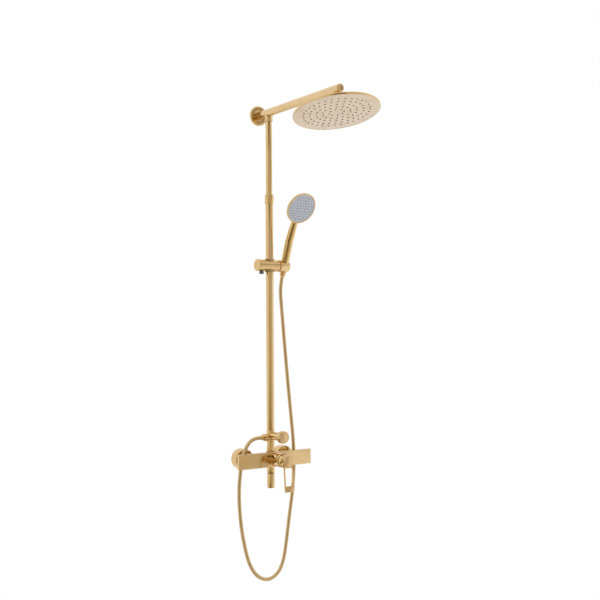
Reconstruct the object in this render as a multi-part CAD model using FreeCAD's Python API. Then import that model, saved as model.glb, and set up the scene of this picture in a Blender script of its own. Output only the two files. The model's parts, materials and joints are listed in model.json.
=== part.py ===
"""Rainfall shower column: a wall-mounted mixer with a riser tube, an overhead arm with a rain head,
a sliding holder with a hand shower, a diverter and a lower spout.

Frame: millimetres, +Z up, +X to the right when facing the wall, -Y out into the room.
The origin lies on the wall plane, midway between the two wall inlets.
Each function builds one piece, or one group of alike pieces, and returns its shape.
"""
import FreeCAD, Part
import math
import os

V = FreeCAD.Vector
X, Y, Z = V(1, 0, 0), V(0, 1, 0), V(0, 0, 1)
LEFT, FRONT, DOWN = V(-1, 0, 0), V(0, -1, 0), V(0, 0, -1)

# ---- clearances ----
SLIP = 0.05        # between a fixed piece and the bore it sits in
RUN = 0.08         # radial, between a turning or sliding shaft and its bore
FREE = 0.4         # between pieces that pass each other

# ---- column ----
INLET_PITCH = 150.0
COLUMN_Y = -61.5
LOWER_TUBE_R = 12.0
UPPER_TUBE_R = 10.0
TUBE_WALL = 1.2
LOWER_TUBE_TOP = 804.0
COLLAR_R = LOWER_TUBE_R + 1.75
COLLAR_BOTTOM = LOWER_TUBE_TOP - 12.0
COLLAR_TOP = LOWER_TUBE_TOP + 17.0
COLLAR_LIP = 4.0
COLLAR_SCREW_R = 2.0
UPPER_TUBE_BOTTOM = 600.0

# ---- arm and wall flange ----
ARM_Z = 1076.0
ARM_R = 12.0
ARM_WALL = 1.6
ARM_TIP_Y = -425.0
ARM_CAP = 4.0
TEE_R = 12.6
TEE_DEPTH = 16.0
FLANGE_R = 30.5
FLANGE_DEPTH = 8.0
FLANGE_WALL = 1.5
WALL_PLATE_R = 27.0
WALL_PLATE_T = 3.0
SOCKET_T = 14.0
WALL_SCREW_R = 2.0
WALL_SCREW_PITCH = 40.0
SCREW_HEAD_H = 1.8
STUB_R = 9.0           # below the arm, over the ball's neck
STUB_BOTTOM = 16.0     # above the ball's centre

# ---- rain head ----
BALL = V(0, -399.8, 1040.0)
BALL_R = 9.0
BALL_NECK_R = 5.0
BALL_BORE_R = 2.6
BALL_COLLAR_R = BALL_R + 1.0
BALL_COLLAR_T = 3.0
HEAD_TILT = 11.5
HEAD_R = 125.0
HEAD_DROP = 31.0       # from the ball's centre to the face
HEAD_FACE_T = 2.0
HEAD_RIM_H = 7.0
HEAD_HUB_H = 12.0
HEAD_WALL = 1.5
NUT_R = BALL_R + 4.0
NUT_TOP = 5.0          # above the ball's centre
NUT_BOTTOM = BALL_R + 5.0    # below it, and so on
NUT_LIP = 1.4
SEAT_TOP = BALL_R / 2
SEAT_BOTTOM = BALL_R + 0.5
RING_T = 1.0
RING_HALF = 1.5
HUB_R = BALL_R
HUB_BORE_R = 4.0
HEAD_FLAT_R = 30.0
HUB_SLOPE = 7.0
HUB_STEP = 3.0
MAT_R = 116.0
GASKET_W = 5.5
RINGS = ((21.0, 8), (40.0, 14), (58.0, 20), (77.0, 26), (95.0, 32))
NOZZLE_R = 1.5
NOZZLE_OUT = 0.8
MAT_T = 1.5

# ---- mixer ----
BODY_R = 17.0
BODY_HALF = 90.0
WATERWAY_R = 8.0
CHAMBER_R = 17.5
CHAMBER_FLOOR = -80.0
BOSS_R = 20.0
BOSS_END = -104.5
PLATE_W = 268.0
PLATE_H = 46.0
PLATE_T = 9.0
PLATE_FRONT = -89.4
PLATE_SKIN = 2.5
PLATE_CORNER = 3.0
GASKET_T = 1.0
SHOULDER_T = 4.0
SHOULDER_R = 22.5
NARROW_R = 6.0         # the waterways up, down and forward
PORT_R = 3.5           # between the body's ends and the cartridge
PORT_LENGTH = 24.0
PORT_X = 20.0
PORT_LEAN = 0.45
CART_PORT_X = 9.0
CART_PORT_DEPTH = 8.0
SOCKET_R = LOWER_TUBE_R + 3.0
SOCKET_TOP = 22.0
SOCKET_BOTTOM = -22.0
SOCKET_DEPTH = 10.0

# ---- wall inlets ----
SPIGOT_R = 10.48
SPIGOT_OUT = 14.0
UNION_THREAD_R = 13.0
UNION_END = -34.0
UNION_BORE_R = 7.5
UNION_WAIST_R = 12.0
UNION_WAIST_START = 4.0
UNION_WAIST_END = 20.0
CUP_R = 31.5
CUP_DEPTH = 30.0
CUP_WALL = 1.2
CUP_ROUND = 2.5
TAIL_R = 9.8
TAIL_FLANGE_R = 12.8
TAIL_FLANGE_T = 3.0
WASHER_T = 2.0
UNION_NUT_R = 15.5
UNION_NUT_START = -30.5
UNION_NUT_END = -43.6

# ---- cartridge and lever ----
PIVOT_Y = -126.0
SLEEVE_R = 21.5
SLEEVE_END = PIVOT_Y - 5.0
DOME_R = 19.9
DOME_WALL = 1.6
DOME_SKIRT = 5.0
DOME_NECK_GAP = 0.4
CART_NUT_T = 8.7
CART_NUT_HEAD_R = 13.5
CART_THREAD_T = 4.7
TURRET_R = 10.0
TURRET_END = PIVOT_Y - 5.0
SLOT_W = 9.6
STEM_W = 9.0
STEM_BACK = PIVOT_Y + 8.0
PIN_R = 1.6
LEVER_NECK_R = 8.0
CAP_R = 17.5
CAP_BACK = -147.0
CAP_FRONT = -161.0
LOOP_W = 34.0
LOOP_LEG = 4.0
LOOP_T = 4.0
LOOP_Y = -153.0
LOOP_END = -92.5
WINDOW_TOP = -20.0
WINDOW_BOTTOM = -74.0
LOOP_LEAN = 5.0        # away from the wall
GRUB_R = 2.0
GRUB_Y = CAP_BACK - 6.0
GRUB_LENGTH = 5.0
GRUB_BOTTOM = CAP_R - 6.0

# ---- lower spout ----
GUIDE_R = LOWER_TUBE_R - 1.6
NECK_END = -42.0
GUIDE_END = -74.0
SPOUT_TOP = -46.5
SPOUT_END = -91.0
AERATOR_H = 8.0
AERATOR_OUT = 0.5
GRID = ((0.0, 1), (3.2, 6), (6.4, 12))
GRID_R = 1.0

# ---- diverter ----
DIV_R = LOWER_TUBE_R + 0.8
DIV_BOTTOM = 50.0
DIV_TOP = 88.0
DIV_SPIGOT_H = 12.0
DIV_KNOB_Z = 71.0
DIV_BOSS_END = -121.5
DIV_BOSS_R1 = 10.0
DIV_BOSS_R2 = 14.0
SPINDLE_R = 5.0
KNOB_R = 19.0
KNOB_T = 14.0
OUTLET_Z = 66.5
OUTLET_R = 8.6
OUTLET_SHOULDER = -13.8
THREAD_R = 9.6
THREAD_END = -22.0
HOSE_NUT_R = 11.2
HOSE_NUT_END = -28.0
HOSE_START = -36.0
FERRULE_R = 7.2
FERRULE_FLANGE_R = 9.3
FERRULE_FLANGE_T = 1.8
HOSE_BORE_R = 4.0

# ---- slider and holder ----
SLIDER_Z = 600.0
SLIDER_R = 18.5
SLIDER_LEFT = -47.0
SLIDER_RIGHT = 29.0
HOLDER_LEFT = 32.0
HOLDER_RIGHT = 67.0
END_CAP_T = 3.0
BUSH_R = LOWER_TUBE_R + 2.2
BUSH_HALF = 20.5
BRAKE_R = 4.0
BRAKE_LENGTH = 12.0
SPRING_R = 3.4
SPRING_WALL = 0.9
LOCK_X = -30.0
LOCK_R = 7.0
LOCK_H = 8.0
LOCK_SHANK_R = 2.5
BOLT_R = 4.0
BOLT_HEAD_R = 7.5
BOLT_HEAD_T = 2.6
BOLT_START = 17.0
BOLT_KEY_R = 2.0
BOLT_WALL = 1.4        # between the bolt's head and the handle
SPACER_R = 13.0

# ---- hand shower ----
HANDLE_X = 54.0
HANDLE_LEAN = 20.0
HANDLE_Y = -63.7       # on the handle's axis, at the holder's height
SOCKET_WIDE_R = 12.7
SOCKET_GAP = 0.35
SOCKET_TAPER = 0.033
SLOT_HOSE_W = 14.0
SOCKET_REACH = 26.0
HAND_FACE = V(54.0, -159.3, 770.0)
HAND_FACE_DOWN = 30.7
HAND_R = 50.0
HAND_T = 14.0
HAND_RIM_T = 6.0
HAND_PLATE_R = 46.0
HAND_PLATE_T = 2.0
HAND_SET_BACK = 0.6
HAND_RECESS = 4.0
HAND_RINGS = ((9.0, 6), (18.0, 12), (27.0, 18), (36.0, 24))
HAND_NOZZLE_R = 0.9
CONE_BOTTOM = -34.0    # along the handle from the holder's height
CONE_TOP = -18.0
CONE_R = 7.8
CONE_STEP = 0.6        # the cone's top is this much less than the handle
CONE_BORE_R = 8.2
CONE_FLOOR = 6.0
HANDLE_BORE_R = 5.0
HANDLE_BORE = 99.0
HAND_PIN_OUT = 0.5
HAND_MAT_R = 45.0
# along the handle: distance from the holder's height, and radius
HANDLE_STRAIGHT = ((-18.0, 11.2), (0.0, 12.2), (30.0, 12.8), (80.0, 12.6))
# centre y, z, lean in degrees and radius, from the straight part into the head
HANDLE_NECK = ((-106.8, 706.0, 27.0, 12.2), (-121.5, 731.0, 30.0, 10.5), (-137.0, 757.0, 30.7, 7.5))

# ---- hose ----
HOSE_R = 6.0
ARC_SHARE = 0.45
HOSE_LEAD = 38.0       # straight out of the hand shower's nut
# from the diverter's ferrule, behind the plate, down, round the loop and up to the hand shower
HOSE_ROUTE = (
    (-52.0, -61.5, 66.5), (-71.0, -61.5, 61.3), (-87.4, -61.5, 46.6),
    (-98.8, -61.5, 22.1), (-110.4, -61.5, -18.3), (-118.8, -62.0, -97.9), (-112.0, -61.5, -189.5),
    (-97.5, -60.0, -262.0), (-80.0, -59.0, -320.0), (-51.0, -57.5, -362.0), (-9.0, -56.0, -380.0),
    (31.0, -54.0, -364.0), (54.0, -52.0, -323.0),
    (66.0, -50.0, -262.0), (78.0, -48.0, -190.0), (93.0, -47.0, -110.0), (99.3, -47.0, -25.0),
    (96.5, -47.0, 50.0), (85.8, -48.0, 140.0), (74.2, -48.0, 250.0), (63.8, -47.0, 365.0),
    (57.0, -43.0, 470.0),
)


def placed(shape, origin, axis):
    """Stands a shape made along +Z at the origin, along an axis."""
    rotation = FreeCAD.Rotation(Z, axis)
    shape.Placement = FreeCAD.Placement(origin, rotation)
    return shape


def rod(radius, start, axis, length):
    """A plain cylinder."""
    return Part.makeCylinder(radius, length, start, axis)


def pipe(outer, inner, start, axis, length):
    """A plain tube."""
    return rod(outer, start, axis, length).cut(rod(inner, start, axis, length))


def turned(profile, origin, axis):
    """A turned piece: its closed outline of (radius, height) points, spun about an axis."""
    points = [V(r, 0, h) for r, h in profile]
    face = Part.Face(Part.makePolygon(points + points[:1]))
    return placed(face.revolve(V(0, 0, 0), Z, 360), origin, axis)


def fused(*shapes):
    """One solid from overlapping shapes."""
    return shapes[0].multiFuse(list(shapes[1:])).removeSplitter()


def minus(shape, *tools):
    """A shape with tools cut out of it."""
    return shape.cut(Part.makeCompound(list(tools)))


def at_column(z):
    """A point on the column's axis."""
    return V(0, COLUMN_Y, z)


def on_circle(radius, count):
    """Points round a circle in the XY plane."""
    steps = [2 * math.pi * i / count for i in range(count)]
    return [V(radius * math.cos(a), radius * math.sin(a), 0) for a in steps]


# ------------------------------------------------------------------ wall inlets
def s_union(x):
    at = V(x, SPIGOT_OUT, 0)
    profile = (
        (UNION_BORE_R, 0), (SPIGOT_R, 0), (SPIGOT_R, SPIGOT_OUT + UNION_WAIST_START),
        (UNION_WAIST_R, SPIGOT_OUT + UNION_WAIST_START), (UNION_WAIST_R, SPIGOT_OUT + UNION_WAIST_END),
        (UNION_THREAD_R, SPIGOT_OUT + UNION_WAIST_END),
        (UNION_THREAD_R, SPIGOT_OUT - UNION_END), (UNION_BORE_R, SPIGOT_OUT - UNION_END),
    )
    return turned(profile, at, FRONT)


def escutcheon(x):
    hole = UNION_THREAD_R + 0.3
    cup = rod(CUP_R, V(x, 0, 0), FRONT, CUP_DEPTH)
    rim = [e for e in cup.Edges if abs(e.BoundBox.YMax + CUP_DEPTH) < 0.01]
    cup = cup.makeFillet(CUP_ROUND, rim)
    inside = rod(CUP_R - CUP_WALL, V(x, 1, 0), FRONT, CUP_DEPTH - CUP_WALL + 1)
    return minus(cup, inside, rod(hole, V(x, 0, 0), FRONT, CUP_DEPTH + 1))


def inlet_washers():
    y = UNION_END
    return Part.makeCompound([
        pipe(TAIL_FLANGE_R - 0.4, UNION_BORE_R, V(x, y, 0), FRONT, WASHER_T)
        for x in (-INLET_PITCH / 2, INLET_PITCH / 2)
    ])


def union_nut(x):
    seat = UNION_END - WASHER_T - TAIL_FLANGE_T
    nut = rod(UNION_NUT_R, V(x, UNION_NUT_START, 0), FRONT, UNION_NUT_START - UNION_NUT_END)
    thread = rod(UNION_THREAD_R + SLIP, V(x, UNION_NUT_START, 0), FRONT, UNION_NUT_START - seat)
    return minus(nut, thread, rod(TAIL_R + SLIP, V(x, UNION_NUT_START, 0), FRONT, 20))


# ------------------------------------------------------------------ mixer
def valve_body():
    flange = UNION_END - WASHER_T
    shoulder = PLATE_FRONT + PLATE_T + GASKET_T
    pieces = [
        rod(BODY_R, V(-BODY_HALF, COLUMN_Y, 0), X, 2 * BODY_HALF),
        rod(BOSS_R, V(0, COLUMN_Y, 0), FRONT, COLUMN_Y - BOSS_END),
        rod(SHOULDER_R, V(0, shoulder + SHOULDER_T, 0), FRONT, SHOULDER_T),
        rod(SOCKET_R, at_column(SOCKET_BOTTOM), Z, SOCKET_TOP - SOCKET_BOTTOM),
    ]
    cuts = [rod(CHAMBER_R, V(0, CHAMBER_FLOOR, 0), FRONT, 40)]
    for x in (-INLET_PITCH / 2, INLET_PITCH / 2):
        side = math.copysign(1, x)
        pieces.append(rod(TAIL_R, V(x, COLUMN_Y, 0), Y, flange - COLUMN_Y))
        pieces.append(rod(TAIL_FLANGE_R, V(x, flange - TAIL_FLANGE_T, 0), Y, TAIL_FLANGE_T))
        cuts.append(rod(UNION_BORE_R, V(x, COLUMN_Y, 0), Y, flange - COLUMN_Y + 1))
        cuts.append(rod(WATERWAY_R, V(x + side * 6, COLUMN_Y, 0), V(-side, 0, 0), abs(x) - 12))
        cuts.append(rod(PORT_R, V(side * PORT_X, COLUMN_Y, 0), V(-side * PORT_LEAN, -1, 0), PORT_LENGTH))
    cuts.append(rod(LOWER_TUBE_R + SLIP, at_column(SOCKET_TOP - SOCKET_DEPTH), Z, SOCKET_DEPTH + 1))
    cuts.append(rod(LOWER_TUBE_R + SLIP, at_column(SOCKET_BOTTOM + 4), DOWN, 20))
    cuts.append(rod(NARROW_R, at_column(SOCKET_BOTTOM - 1), Z, SOCKET_TOP - SOCKET_BOTTOM + 2))
    cuts.append(rod(NARROW_R, at_column(0), FRONT, COLUMN_Y - CHAMBER_FLOOR + 1))
    return minus(fused(*pieces), *cuts)


def front_plate():
    back = PLATE_FRONT + PLATE_T
    low = V(-PLATE_W / 2, PLATE_FRONT, -PLATE_H / 2)
    plate = Part.makeBox(PLATE_W, PLATE_T, PLATE_H, low)
    plate = plate.makeFillet(PLATE_CORNER, [e for e in plate.Edges if e.BoundBox.YLength > PLATE_T - 0.1])
    pocket = Part.makeBox(
        PLATE_W - 2 * PLATE_SKIN, PLATE_T, PLATE_H - 2 * PLATE_SKIN,
        V(-PLATE_W / 2 + PLATE_SKIN, PLATE_FRONT + PLATE_SKIN, -PLATE_H / 2 + PLATE_SKIN),
    )
    hub = rod(SHOULDER_R, V(0, back, 0), FRONT, PLATE_T)
    return minus(fused(plate.cut(pocket), hub), rod(BOSS_R + SLIP, V(0, back, 0), FRONT, PLATE_T))


def plate_gasket():
    back = PLATE_FRONT + PLATE_T
    return pipe(SHOULDER_R, BOSS_R + SLIP, V(0, back, 0), Y, GASKET_T)


def cartridge_body():
    length = CHAMBER_FLOOR - (BOSS_END + CART_THREAD_T) - 1.0
    body = rod(CHAMBER_R - SLIP, V(0, CHAMBER_FLOOR - 1.0, 0), FRONT, length)
    ports = [rod(PORT_R, V(x, CHAMBER_FLOOR, 0), FRONT, CART_PORT_DEPTH) for x in (-CART_PORT_X, CART_PORT_X)]
    groove = pipe(CHAMBER_R + 1, CHAMBER_R - 2.3, V(0, CHAMBER_FLOOR - 8.2, 0), FRONT, 2.4)
    return minus(body, groove, *ports)


def cartridge_seals():
    ring = Part.makeTorus(CHAMBER_R - 1.1, 1.0, V(0, CHAMBER_FLOOR - 9.4, 0), FRONT)
    discs = [pipe(5.2, 3.6, V(x, CHAMBER_FLOOR, 0), FRONT, 1.0) for x in (-CART_PORT_X, CART_PORT_X)]
    return Part.makeCompound([ring] + discs)


def cartridge_nut():
    start = BOSS_END + CART_THREAD_T
    thread = rod(CHAMBER_R - SLIP, V(0, start, 0), FRONT, CART_THREAD_T)
    head = rod(CART_NUT_HEAD_R, V(0, start, 0), FRONT, CART_NUT_T)
    return minus(fused(thread, head), rod(TURRET_R + 0.3, V(0, start, 0), FRONT, CART_NUT_T))


def cartridge_sleeve():
    length = PLATE_FRONT - SLEEVE_END
    profile = (
        (BOSS_R + SLIP, 0), (SLEEVE_R, 0), (SLEEVE_R, length - 1.2), (SLEEVE_R - 0.8, length),
        (DOME_R + FREE, length), (DOME_R + FREE, PLATE_FRONT - BOSS_END),
        (BOSS_R + SLIP, PLATE_FRONT - BOSS_END),
    )
    return turned(profile, V(0, PLATE_FRONT, 0), FRONT)


def cartridge_turret():
    start = BOSS_END + CART_THREAD_T - RUN
    turret = rod(TURRET_R, V(0, start, 0), FRONT, start - TURRET_END)
    slot = Part.makeBox(SLOT_W, 20, 3 * TURRET_R, V(-SLOT_W / 2, TURRET_END - 2, -1.5 * TURRET_R))
    slot.translate(V(0, STEM_BACK + 1.5 - (TURRET_END - 2) - 20, 0))
    return minus(turret, slot, rod(PIN_R + 0.02, V(-20, PIVOT_Y, 0), X, 40))


def fulcrum_pin():
    half = TURRET_R - 1.0
    return rod(PIN_R, V(-half, PIVOT_Y, 0), X, 2 * half)


def handle_dome():
    pivot = V(0, PIVOT_Y, 0)
    ball = Part.makeSphere(DOME_R, pivot).cut(Part.makeSphere(DOME_R - DOME_WALL, pivot))
    ball = ball.cut(rod(DOME_R + 5, V(0, PIVOT_Y + DOME_SKIRT, 0), Y, 30))
    neck_start = PIVOT_Y - DOME_R + DOME_WALL + DOME_NECK_GAP
    neck = rod(LEVER_NECK_R, V(0, neck_start, 0), FRONT, neck_start - CAP_BACK)
    stem = Part.makeBox(
        STEM_W, STEM_BACK - neck_start + 0.5, STEM_W, V(-STEM_W / 2, neck_start - 0.5, -STEM_W / 2)
    )
    return minus(fused(ball, neck, stem), rod(PIN_R + RUN, V(-20, PIVOT_Y, 0), X, 40))


def lever_loop():
    """The cap and the open loop below it, one casting."""
    half = LOOP_W / 2
    blank = Part.makeBox(LOOP_W, LOOP_T, -LOOP_END, V(-half, LOOP_Y - LOOP_T, LOOP_END))
    corners = [e for e in blank.Edges if e.BoundBox.YLength > LOOP_T - 0.1 and e.BoundBox.ZMax < LOOP_END + 1]
    blank = blank.makeFillet(4.0, corners)
    window = Part.makeBox(
        LOOP_W - 2 * LOOP_LEG, LOOP_T + 2, WINDOW_TOP - WINDOW_BOTTOM,
        V(-half + LOOP_LEG, LOOP_Y - LOOP_T - 1, WINDOW_BOTTOM),
    )
    window = window.makeFillet(3.0, [e for e in window.Edges if e.BoundBox.YLength > LOOP_T])
    loop = blank.cut(window)
    loop.rotate(V(0, LOOP_Y - LOOP_T / 2, 0), X, -LOOP_LEAN)
    cap = rod(CAP_R, V(0, CAP_BACK, 0), FRONT, CAP_BACK - CAP_FRONT)
    front = [e for e in cap.Edges if abs(e.BoundBox.YMax - CAP_FRONT) < 0.01]
    cap = cap.makeFillet(1.2, front)
    hole = rod(GRUB_R + SLIP, V(0, GRUB_Y, GRUB_BOTTOM), Z, CAP_R)
    return fused(cap, loop).cut(hole)


def lever_screw():
    return rod(GRUB_R, V(0, GRUB_Y, GRUB_BOTTOM), Z, GRUB_LENGTH)


# ------------------------------------------------------------------ lower spout
def spout_neck():
    top = SOCKET_BOTTOM + 4
    profile = (
        (NARROW_R, top), (LOWER_TUBE_R, top), (LOWER_TUBE_R, NECK_END), (GUIDE_R, NECK_END),
        (GUIDE_R, GUIDE_END), (NARROW_R, GUIDE_END),
    )
    return turned(profile, at_column(0), Z)


def spout_sleeve():
    return pipe(LOWER_TUBE_R, GUIDE_R + RUN, at_column(SPOUT_TOP), DOWN, SPOUT_TOP - SPOUT_END)


def aerator():
    disc = rod(GUIDE_R + RUN - SLIP, at_column(SPOUT_END - AERATOR_OUT), Z, AERATOR_H)
    holes = []
    for radius, count in GRID:
        for p in on_circle(radius, count):
            holes.append(rod(GRID_R, at_column(SPOUT_END - 1) + p, Z, AERATOR_H + 2))
    return minus(disc, *holes)


# ------------------------------------------------------------------ diverter
def diverter_body():
    start = SOCKET_TOP - SOCKET_DEPTH
    inner = LOWER_TUBE_R - TUBE_WALL - SLIP
    boss_length = COLUMN_Y - DIV_BOSS_END
    pieces = [
        rod(LOWER_TUBE_R, at_column(start), Z, DIV_TOP - start),
        rod(DIV_R, at_column(DIV_BOTTOM), Z, DIV_TOP - DIV_BOTTOM),
        rod(inner, at_column(DIV_TOP), Z, DIV_SPIGOT_H),
        Part.makeCone(DIV_BOSS_R1, DIV_BOSS_R2, boss_length, V(0, COLUMN_Y, DIV_KNOB_Z), FRONT),
        rod(OUTLET_R, V(0, COLUMN_Y, OUTLET_Z), LEFT, -OUTLET_SHOULDER),
        rod(THREAD_R, V(OUTLET_SHOULDER + 0.5, COLUMN_Y, OUTLET_Z), LEFT, OUTLET_SHOULDER + 0.5 - THREAD_END),
    ]
    cuts = [
        rod(NARROW_R, at_column(start - 1), Z, DIV_TOP + DIV_SPIGOT_H - start + 2),
        rod(SPINDLE_R + RUN, V(0, COLUMN_Y + 6, DIV_KNOB_Z), FRONT, boss_length + 7),
        rod(HOSE_BORE_R + 1, V(-4, COLUMN_Y, OUTLET_Z), LEFT, 30),
    ]
    return minus(fused(*pieces), *cuts)


def diverter_spindle():
    end = DIV_BOSS_END - FREE - KNOB_T / 2
    return rod(SPINDLE_R, V(0, COLUMN_Y + 5, DIV_KNOB_Z), FRONT, COLUMN_Y + 5 - end)


def diverter_knob():
    back = DIV_BOSS_END - FREE
    knob = rod(KNOB_R, V(0, back, DIV_KNOB_Z), FRONT, KNOB_T)
    front = [e for e in knob.Edges if abs(e.BoundBox.YMax - (back - KNOB_T)) < 0.01]
    knob = knob.makeFillet(1.2, front)
    return knob.cut(rod(SPINDLE_R + SLIP, V(0, back, DIV_KNOB_Z), FRONT, KNOB_T / 2))


def hose_washer():
    return pipe(FERRULE_FLANGE_R, HOSE_BORE_R + 1, V(THREAD_END, COLUMN_Y, OUTLET_Z), LEFT, WASHER_T)


def hose_nut():
    start = OUTLET_SHOULDER - 0.4
    seat = THREAD_END - WASHER_T - FERRULE_FLANGE_T
    nut = rod(HOSE_NUT_R, V(start, COLUMN_Y, OUTLET_Z), LEFT, start - HOSE_NUT_END)
    rims = [e for e in nut.Edges if e.BoundBox.XLength < 0.01]
    nut = nut.makeFillet(0.8, rims)
    thread = rod(THREAD_R + SLIP, V(start, COLUMN_Y, OUTLET_Z), LEFT, start - seat)
    return minus(nut, thread, rod(FERRULE_R + SLIP, V(start, COLUMN_Y, OUTLET_Z), LEFT, 30))


def ferrule_profile(length):
    return (
        (HOSE_BORE_R, 0), (FERRULE_FLANGE_R, 0), (FERRULE_FLANGE_R, FERRULE_FLANGE_T),
        (FERRULE_R, FERRULE_FLANGE_T), (FERRULE_R, length - 1), (FERRULE_R - 0.8, length),
        (HOSE_BORE_R, length),
    )


def hose_ferrule_lower():
    start = THREAD_END - WASHER_T
    return turned(ferrule_profile(start - HOSE_START), V(start, COLUMN_Y, OUTLET_Z), LEFT)


# ------------------------------------------------------------------ column
def lower_tube():
    return pipe(LOWER_TUBE_R, LOWER_TUBE_R - TUBE_WALL, at_column(DIV_TOP), Z, LOWER_TUBE_TOP - DIV_TOP)


def tube_collar():
    lip = COLLAR_TOP - COLLAR_LIP
    bore = LOWER_TUBE_R + SLIP
    profile = (
        (bore, COLLAR_BOTTOM), (COLLAR_R - 0.6, COLLAR_BOTTOM), (COLLAR_R, COLLAR_BOTTOM + 0.6),
        (COLLAR_R, COLLAR_TOP - 1), (COLLAR_R - 1, COLLAR_TOP), (UPPER_TUBE_R + FREE, COLLAR_TOP),
        (UPPER_TUBE_R + FREE, lip), (bore, lip),
    )
    hole = rod(COLLAR_SCREW_R + 0.03, at_column((LOWER_TUBE_TOP + lip) / 2), Y, 20)
    return turned(profile, at_column(0), Z).cut(hole)


def collar_bush():
    height = COLLAR_TOP - COLLAR_LIP - LOWER_TUBE_TOP
    return pipe(LOWER_TUBE_R, UPPER_TUBE_R + RUN, at_column(LOWER_TUBE_TOP), Z, height)


def collar_screw():
    z = (LOWER_TUBE_TOP + COLLAR_TOP - COLLAR_LIP) / 2
    return rod(COLLAR_SCREW_R, at_column(z) + V(0, LOWER_TUBE_R + SLIP, 0), Y, COLLAR_R - LOWER_TUBE_R - 0.2)


def upper_tube():
    length = ARM_Z - ARM_R + 4 - UPPER_TUBE_BOTTOM
    return pipe(UPPER_TUBE_R, UPPER_TUBE_R - TUBE_WALL, at_column(UPPER_TUBE_BOTTOM), Z, length)


# ------------------------------------------------------------------ arm
def arm():
    start = -WALL_PLATE_T - 1
    bottom = ARM_Z - ARM_R - TEE_DEPTH
    stub_bottom = BALL.z + STUB_BOTTOM
    pieces = [
        rod(ARM_R, V(0, start, ARM_Z), FRONT, start - ARM_TIP_Y - ARM_CAP),
        rod(TEE_R, at_column(bottom), Z, ARM_Z - bottom),
        rod(STUB_R, V(0, BALL.y, stub_bottom), Z, ARM_Z - stub_bottom),
    ]
    cuts = [
        rod(ARM_R - ARM_WALL, V(0, start - SOCKET_T, ARM_Z), FRONT, -ARM_TIP_Y),
        rod(UPPER_TUBE_R + SLIP, at_column(bottom), Z, ARM_Z - ARM_R + 4 - bottom),
        rod(UPPER_TUBE_R - TUBE_WALL, at_column(bottom), Z, ARM_Z - bottom),
        rod(BALL_NECK_R + SLIP, V(0, BALL.y, stub_bottom), Z, ARM_Z - stub_bottom),
    ]
    return minus(fused(*pieces), *cuts)


def arm_end_cap():
    y = ARM_TIP_Y + ARM_CAP
    inner = ARM_R - ARM_WALL - SLIP
    profile = (
        (0, -ARM_CAP), (inner, -ARM_CAP), (inner, 0), (ARM_R, 0), (ARM_R, ARM_CAP - 1),
        (ARM_R - 1, ARM_CAP), (0, ARM_CAP),
    )
    return turned(profile, V(0, y, ARM_Z), FRONT)


def wall_plate():
    at = V(0, 0, ARM_Z)
    plate = rod(WALL_PLATE_R, at, FRONT, WALL_PLATE_T)
    socket = pipe(ARM_R + 3, ARM_R + SLIP, at + V(0, -WALL_PLATE_T, 0), FRONT, WALL_PLATE_T)
    half = WALL_SCREW_PITCH / 2
    holes = [rod(WALL_SCREW_R + 0.2, V(x, 0, ARM_Z), FRONT, WALL_PLATE_T) for x in (-half, half)]
    return minus(fused(plate, socket), *holes)


def wall_screws():
    """Only the heads and the short stretch in the plate: the thread is in the wall."""
    half = WALL_SCREW_PITCH / 2
    screws = []
    for x in (-half, half):
        shank = rod(WALL_SCREW_R, V(x, 0, ARM_Z), FRONT, WALL_PLATE_T + 1)
        head = rod(2 * WALL_SCREW_R, V(x, -WALL_PLATE_T, ARM_Z), FRONT, SCREW_HEAD_H)
        screws.append(fused(shank, head))
    return Part.makeCompound(screws)


def wall_flange():
    cup = rod(FLANGE_R, V(0, 0, ARM_Z), FRONT, FLANGE_DEPTH)
    rim = [e for e in cup.Edges if abs(e.BoundBox.YMax + FLANGE_DEPTH) < 0.01]
    cup = cup.makeFillet(1.4, rim)
    inside = rod(FLANGE_R - FLANGE_WALL, V(0, 1, ARM_Z), FRONT, FLANGE_DEPTH - FLANGE_WALL + 1)
    return minus(cup, inside, rod(ARM_R + 2 * SLIP, V(0, 1, ARM_Z), FRONT, 20))


def ball_nipple():
    top = ARM_Z - ARM_R + 2
    neck = rod(BALL_NECK_R, BALL, Z, top - BALL.z)
    collar = rod(BALL_COLLAR_R, BALL + V(0, 0, STUB_BOTTOM - BALL_COLLAR_T), Z, BALL_COLLAR_T)
    ball = Part.makeSphere(BALL_R, BALL)
    bore = rod(BALL_BORE_R, BALL + V(0, 0, -2 * BALL_R), Z, top - BALL.z + 3 * BALL_R)
    return minus(fused(ball, neck, collar), bore)


# ------------------------------------------------------------------ rain head
def tilted(shape):
    """Head pieces are made level below the ball and then tilted with the head."""
    shape.rotate(BALL, X, -HEAD_TILT)
    return shape


FACE_Z = BALL.z - HEAD_DROP
SHELL_TOP = FACE_Z + HEAD_HUB_H


def at_head(z):
    """A point on the head's axis before it is tilted."""
    return V(BALL.x, BALL.y, z)


def swivel_ring():
    """A slip ring between the ball and the nut's lip."""
    inner = BALL_R + RUN
    outer = inner + RING_T
    ring = Part.makeSphere(outer, BALL).cut(Part.makeSphere(inner, BALL))
    band = rod(outer + 1, BALL + V(0, 0, -RING_HALF), Z, 2 * RING_HALF)
    return tilted(ring.common(band))


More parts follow.
